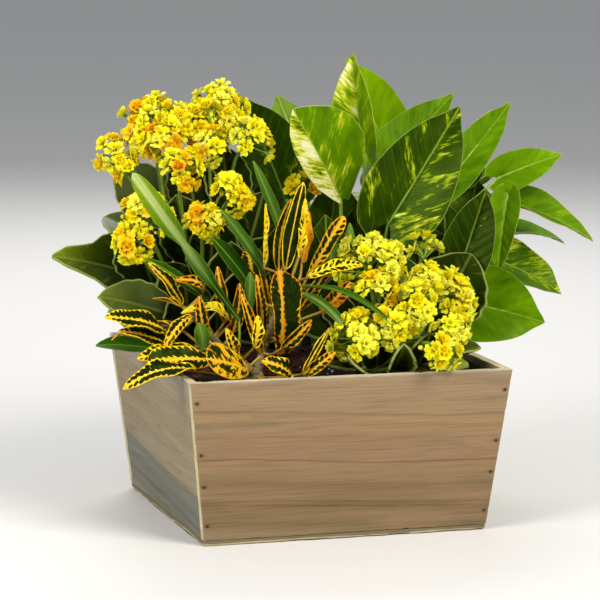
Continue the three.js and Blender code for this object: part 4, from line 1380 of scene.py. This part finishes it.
# The crown: a low swollen disc at the soil, pinched in toward the stems.
crown = begun(
    bpy.ops.mesh.primitive_cylinder_add, vertices=24, radius=CROWN_RADIUS, depth=CROWN_TALL,
    location=CROWN)
with editing(crown, "FACE", lambda f: f.normal.z > 0.9):
    bpy.ops.transform.resize(value=(0.55, 0.55, 1))
    bpy.ops.mesh.inset(thickness=1.5 * MM)
cut_across(crown, 2, 5 * MM, 5)
points = points_of(crown)
for i, (x, y, z) in enumerate(points):
    bulge = 1 + 0.16 * noise.noise(Vector((x * 200, y * 200, z * 300)))
    points[i, :2] = CROWN.xy + (Vector((x, y)) - CROWN.xy) * bulge
move_points(crown, points)
bark_skin = mottled(
    "croton_bark", (200, 200, 500), 4, 0.6, [(0.3, "4c4124"), (0.55, "7d7148"), (0.75, "a2976a")],
    0.8, 0.3 * MM, 0.7, 0.3)
for made in (crown, *stem_pieces):
    dress(made, bark_skin)
stems = joined([crown, *stem_pieces])
smooth(stems, 60)
settle(stems, "croton_stems_and_crown", "croton_bark", "croton_stems")


def ribbon(v):
    return np.sin(np.pi * np.clip(v, 0, 1) ** 0.9) ** 0.55


def wide_above(v):
    """A blade that is broadest past its middle, with a waist below."""
    return np.interp(
        v, [0, 0.1, 0.3, 0.5, 0.7, 0.85, 0.95, 1], [0.35, 0.62, 0.8, 0.82, 1, 0.95, 0.6, 0.1])


def spoon(v):
    """A blade with a broad round end."""
    return np.interp(
        v, [0, 0.15, 0.35, 0.6, 0.8, 0.92, 0.98, 1], [0.2, 0.5, 0.82, 1, 0.97, 0.75, 0.42, 0.1])


CROTON = {
    "slot": "croton_leaf", "outline": ribbon, "lobe": 0.0, "thickness": 0.6, "stalk": 1.0,
    "across": 14, "along": 40, "wave": 1.3, "waves": 1.9, "quilt": 0.1, "vein_gap": 4.0,
    "slant": 0.8, "groove": 0.3, "face": (0, -9, 2), "arch": 0.1, "fold": 14,
    "finishes": [croton_surface("croton_face", False), croton_surface("croton_underside", True),
                 stalk_surface("croton_petiole", "8a6a1c", "c8a03c")],
}


def nearest_hold(base):
    """The stem that a leaf without a named one hangs from, and how far up it."""
    holds = [(np.linalg.norm(base - path[k]) + 2 * max(0, path[k][2] - base[2] + 4), key, k / (len(path) - 1))
             for key, path in stem_paths.items() for k in range(3, len(path))]
    return min(holds)[1:]


def seat_on_croton(leaf):
    key, share = leaf["hold"] or nearest_hold(leaf["base"])
    path = stem_paths[key]
    reach = np.linalg.norm(leaf["base"] - path[int(share * (len(path) - 1))])
    return seat_on_stem(path, share, leaf["base"], CROTON_STEM, min(6.0, reach * 0.3))


# The stem and how far up it, then as for the pothos; the tone is how orange the leaf is, how
# much of it is gold, and how wide its midrib is. The leaves after the frame's own name no stem.
CROTON_LEAVES = [
    [("low", 0.9), 1, (-80, -66, 115), (-127, -75, 117), 20, (0.2, 0.3, 0.3), (0, -7, 6), 0.06, 6,
     {"wave": 1.0, "outline": spoon}],
    [("low", 0.6), 2, (-62, -80, 110), (-95, -100, 122), 25, (0.4, 0.63, 0.2), (1, -8, 6), 0.04, 6,
     {"wave": 0.5, "outline": spoon}],
    [("low", 0.75), 3, (-98, -84, 112), (-148, -94, 104), 13, (0.1, 0.2, 0.15), (-1, -5, 8), 0.16, 16,
     {"twist": 40, "wave": 2.4}],
    [("left", 0.85), 4, (-104, -34, 130), (-150, -55, 144), 15, (0.1, 0.2, 0.25), (0, -7, 7), 0.08, 14,
     {"wave": 1.4}],
    [("left", 0.6), 5, (-94, -30, 116), (-140, -50, 134), 12, (0.2, 0.15, 0.2), (0, -7, 7), 0.07, 14,
     {"wave": 1.4}],
    [("left", 0.98), 6, (-96, -42, 148), (-122, -50, 174), 9, (0.3, 0.1, 0.25), (2, -8, 4), 0.12, 18,
     {"hook": 0.12}],
    [("tall", 0.4), 7, (-34, -60, 116), (-37, -75, 173), 21, (0.55, 0.22, 0.5), (0, -9, 1), 0.04, 8,
     {"outline": wide_above, "wave": 1.4, "lopsided": 0.3, "hook": -0.06}],
    [("tall", 0.92), 8, (-31, -44, 168), (-36, -44, 214), 9, (0.42, 0.08, 0.15), (-1, -9, 1), 0.03, 12,
     {"wave": 1.6, "hook": 0.28}],
    [("tall", 0.98), 9, (-27, -46, 170), (-22, -52, 227), 12, (0.1, 0.02, 0.05), (0, -9, 1), 0.03, 10,
     {"wave": 1.4, "hook": 0.08}],
    [("tall", 0.85), 10, (-11, -42, 163), (8, -46, 205), 10, (0.42, 0.3, 0.35), (1, -9, 2), 0.06, 12,
     {"wave": 1.4, "hook": 0.1, "outline": spoon}],
]
MORE_CROTON = [
    [36, (-14, -40, 173), (-8, -40, 206), 7, (0.62, 0.8, 0.3), (0, -9, 1), 0.05, 10,
     {"wave": 1.8, "hook": -0.06}],
    [37, (-19, -50, 178), (-16, -52, 216), 6, (0.15, 0.6, 0.3), (0, -9, 1), 0.05, 10,
     {"wave": 2.6, "waves": 2.6}],
    [11, (-90, -62, 120), (-131, -64, 118), 15, (0.15, 0.3, 0.25), (0, -6, 7), 0.06, 8],
    [12, (-92, -52, 142), (-114, -64, 122), 8, (0.3, 0.2, 0.2), (-3, -7, 5), 0.25, 14, {"twist": 40}],
    [13, (-63, -44, 136), (-97, -44, 143), 8, (0, 0.6, 0.3), (0, -6, 7), 0.3],
    [14, (-76, -22, 152), (-98, -24, 162), 7, (0.6, 0.2, 0.25), (-2, -8, 5), 0.55, 14, {"twist": 30}],
    [16, (-34, -84, 106), (-57, -94, 118), 13, (0.3, 0.4, 0.25), (2, -8, 5), 0.12, 10, {"wave": 1.6}],
    [17, (-24, -82, 105), (-7, -90, 121), 8, (0.5, 0.3, 0.2), (-1, -8, 4), 0.1, 14, {"wave": 1.2}],
    [18, (-57, -78, 124), (-56, -80, 145), 8, (0.05, 0.3, 0.3), (1, -9, 2), 0.1, 18],
    [19, (-16, -60, 166), (22, -58, 172), 9, (0.05, 0.4, 0.2), (0, -7, 6), 0.16, 14, {"wave": 1.2}],
    [20, (-7, -58, 142), (12, -62, 162), 11, (0.7, 0.4, 0.25), (2, -8, 3), 0.08, 14, {"wave": 1.2}],
    [21, (-26, -82, 106), (-9, -84, 136), 5, (0.15, 0, 0.1), (-3, -8, 2), 0.1, 24],
    [22, (-82, -48, 127), (-90, -52, 154), 8, (0.6, 0.2, 0.25), (-2, -9, 2), 0.1, 16, {"hook": 0.1}],
    [23, (-62, -42, 128), (-54, -42, 160), 9, (0.6, 0.12, 0.2), (1, -9, 2), 0.08, 16, {"hook": -0.1}],
    [24, (-64, -32, 134), (-73, -32, 170), 8, (0.62, 0.1, 0.25), (-1, -9, 2), 0.1, 16, {"hook": 0.1}],
    [25, (-32, -30, 140), (-42, -30, 182), 7, (0.5, 0.1, 0.2), (0, -9, 1), 0.08, 16],
    [26, (-72, -26, 130), (-106, -6, 148), 13, (0.35, 0.3, 0.3), (-1, 2, 9), 0.1, 10],
    [27, (-42, -30, 150), (-40, 2, 178), 12, (0.4, 0.2, 0.3), (0, 5, 7), 0.1, 12],
    [28, (-26, -32, 168), (-10, -8, 208), 12, (0.45, 0.2, 0.3), (3, 6, 4), 0.1, 12],
    [29, (-92, -34, 130), (-138, -22, 124), 13, (0.3, 0.3, 0.3), (-1, 1, 9), 0.16, 10],
    [30, (-68, -72, 116), (-78, -84, 138), 8, (0.3, 0.2, 0.2), (0, -9, 2), 0.12],
    [31, (-36, -66, 120), (-18, -74, 140), 8, (0.5, 0.15, 0.2), (1, -9, 2), 0.12],
    [32, (-48, -62, 116), (-66, -66, 156), 7, (0.6, 0.1, 0.2), (-1, -9, 2), 0.1, 16, {"hook": 0.08}],
    [33, (-44, -52, 124), (-50, -56, 168), 7, (0.55, 0.1, 0.2), (0, -9, 2), 0.08, 16],
    [34, (-22, -50, 140), (-2, -60, 178), 8, (0.6, 0.15, 0.2), (1, -9, 2), 0.08, 16, {"hook": 0.1}],
    [35, (-40, -40, 170), (-39, -40, 212), 3, (0.1, 0.3, 0.1), (0, -9, 1), 0.05, 24],
]
plant("ribbon_leaf", "croton_leaf", len(CROTON_LEAVES), CROTON,
      CROTON_LEAVES + [[None, *row] for row in MORE_CROTON], seat_on_croton)

# ---------------------------------------------------------------- strap leaves
# Plain green leaves among the croton's: long, narrow and leathery, with a pale channel along the
# midrib. One is pale green with a nearly white middle, and is pinched in below its broad end.


def strap_surface(name, under):
    finish, tree = new_finish(name)
    across, along, inward = read(tree, "on_blade").split()
    light, pale, painted_foot_shade = read(tree, "leaf_tone").split()
    # A leaf may be painted darker toward its foot, and its pale middle runs out there too: painted shade
    # where it goes down into the plant.
    foot = painted_foot_shade * along.spread(20, 120, 1, 0, "LINEAR")
    out = abs(across)
    streak = vein_noise(across, along, 2.2, 1.6, 10, 0)
    shade = light - foot * 0.6 + (streak - 0.5) * 0.5
    middle = (pale - pale * foot) * (streak * 1.2 + out).spread(1.6, 4.0, 1, 0)
    ticks = (along - out * 1.6).sum("PINGPONG", 0.9)
    colour = layered(
        ramp(shade, (0.0, "102c03"), (0.35, "2a5a05"), (0.7, "709010"), (1.0, "a8ba20")),
        (middle, "d6da92"), (out.spread(0.2, 0.7, 0.5, 0), "8fb83c"),
        (ticks.spread(0.0, 0.3, 0.2, 0), "6f9e20"), (inward.spread(0.15, 0.5, 0.3, 0), "96b83a"),
        (0.35 if under else 0, "93ad5e"))
    leaf_glaze(colour, 0.46, streak, 0.15 * MM, 0.2, 0.25)
    return finish


def strap(v):
    return np.interp(v, [0, 0.08, 0.3, 0.55, 0.8, 0.93, 1], [0.3, 0.5, 0.9, 1, 0.8, 0.42, 0.06])


def pinched(v):
    return np.interp(v, [0, 0.1, 0.25, 0.38, 0.46, 0.54, 0.62, 0.72, 0.84, 0.93, 0.98, 1],
                     [0.22, 0.3, 0.42, 0.74, 0.62, 0.34, 0.8, 1, 0.97, 0.78, 0.45, 0.08])


STRAP = {
    "slot": "strap_leaf", "outline": strap, "lobe": 0.0, "thickness": 0.5, "stalk": 0.8,
    "across": 12, "along": 50, "wave": 0.5, "waves": 1.5, "quilt": 0.0, "vein_gap": 5.0,
    "slant": 1.6, "groove": 0.35, "face": (2, -8, 3), "arch": 0.06, "fold": 14,
    "finishes": [strap_surface("strap_face", False), strap_surface("strap_underside", True),
                 stalk_surface("strap_stalk", "3f6a12", "8fb03a")],
}

# As for the croton; the tone is lightness, how pale the middle is and how dark the foot is painted, as shade.
STRAP_LEAVES = [
    [("left", 0.35), 1, (-60, -52, 138), (-138, -80, 238), 13, (0.76, 0.8, 1.15), (-3, -9, 1), 0.03, 6,
     {"outline": pinched, "wave": 1.6, "waves": 2.5}],
    [("tall", 0.75), 2, (-20, -56, 160), (30, -98, 137), 8, (0.3, 0, 0), (2, -3, 9), 0.12, 10],
    [("left", 0.5), 3, (-97, 6, 111), (-143, 0, 117), 14, (0.32, 0, 0), (0, -6, 8), 0.05, 12],
]
MORE_STRAPS = [
    [4, (-14, -8, 178), (-36, 0, 236), 8, (0.32, 0.08, 0), (1, -9, 1), 0.03, 18],
    [5, (-32, -32, 158), (-67, -32, 208), 9, (0.26, 0.08, 0), (2, -8, 3), 0.04, 16],
    [6, (-22, -62, 156), (-4, -94, 139), 12, (0.3, 0.2, 0), (2, -4, 8), 0.08, 10],
    [7, (16, -6, 150), (18, -2, 194), 9, (0.28, 0.1, 0), (-2, -9, 1), 0.04, 18],
    [8, (26, -4, 150), (31, -2, 193), 9, (0.5, 0.1, 0), (1, -9, 1), 0.04, 18],
    [9, (-52, -42, 138), (-50, -42, 168), 8, (0.36, 0.1, 0), (0, -9, 2)],
    [10, (-86, -60, 122), (-90, -62, 139), 11, (0.42, 0.1, 0), (0, -9, 3), 0.06, 10],
    [11, (-38, -26, 146), (-72, -26, 190), 13, (0.12, 0, 0), (2, -8, 3), 0.05],
    [12, (-72, -22, 146), (-116, -22, 177), 8, (0.16, 0, 0), (2, -8, 4), 0.06, 12],
]
plant("narrow_green_leaf", "strap_leaf", len(STRAP_LEAVES), STRAP,
      STRAP_LEAVES + [[None, *row] for row in MORE_STRAPS], seat_on_croton)

# ---------------------------------------------------------------- studio
# A plain pale floor under soft light from above, and the camera at the height of a table.

floor = begun(bpy.ops.mesh.primitive_plane_add, size=36)
floor.name = "studio_floor"
floor_finish, tree = new_finish("pale_floor")
show(node(tree, "BsdfPrincipled", {
    "Base Color": "d9d7d3", "Roughness": 0.8, "Specular IOR Level": 0.2}))
dress(floor, floor_finish)

world = bpy.data.worlds.new("studio")
bpy.context.scene.world = world
world.use_nodes = True
sky = world.node_tree.nodes["Background"]
sky.inputs["Color"].default_value = (0.9, 0.94, 1.0, 1)
sky.inputs["Strength"].default_value = 0.4


def softbox(name, spot, height, size, power, shade):
    """A square lamp that looks at the middle of the box, some way up."""
    lamp = bpy.data.lights.new(name, "AREA")
    lamp.shape = "SQUARE"
    lamp.size = size
    lamp.energy = power
    lamp.color = shade
    holder = bpy.data.objects.new(name, lamp)
    bpy.context.scene.collection.objects.link(holder)
    holder.location = spot
    holder.rotation_euler = (Vector((0, 0, height)) - Vector(spot)).to_track_quat("-Z", "Y").to_euler()


softbox("key_light", (0.7, -1.5, 1.5), 0.15, 0.9, 41, (1, 0.97, 0.92))
softbox("side_light", (-1.5, -0.8, 1.1), 0.15, 0.9, 28, (1, 0.99, 0.97))
softbox("rim_light", (0.3, 1.4, 1.3), 0.2, 0.8, 16, (1, 1, 1))

CAMERA_SPOT = (-0.590, -1.896, 0.428)
CAMERA_TURN = math.radians(-17.2)
CAMERA_RISE = math.radians(90 - 8.2)
CAMERA_ROLL = math.radians(0.4)
camera_data = bpy.data.cameras.new("camera")
camera_data.lens = 180
camera_data.sensor_width = 36
camera = bpy.data.objects.new("camera", camera_data)
bpy.context.scene.collection.objects.link(camera)
camera.matrix_world = (
    Matrix.Translation(CAMERA_SPOT) @ Matrix.Rotation(CAMERA_TURN, 4, "Z")
    @ Matrix.Rotation(CAMERA_RISE, 4, "X") @ Matrix.Rotation(CAMERA_ROLL, 4, "Z"))
bpy.context.scene.camera = camera
bpy.context.scene.view_settings.view_transform = "Standard"
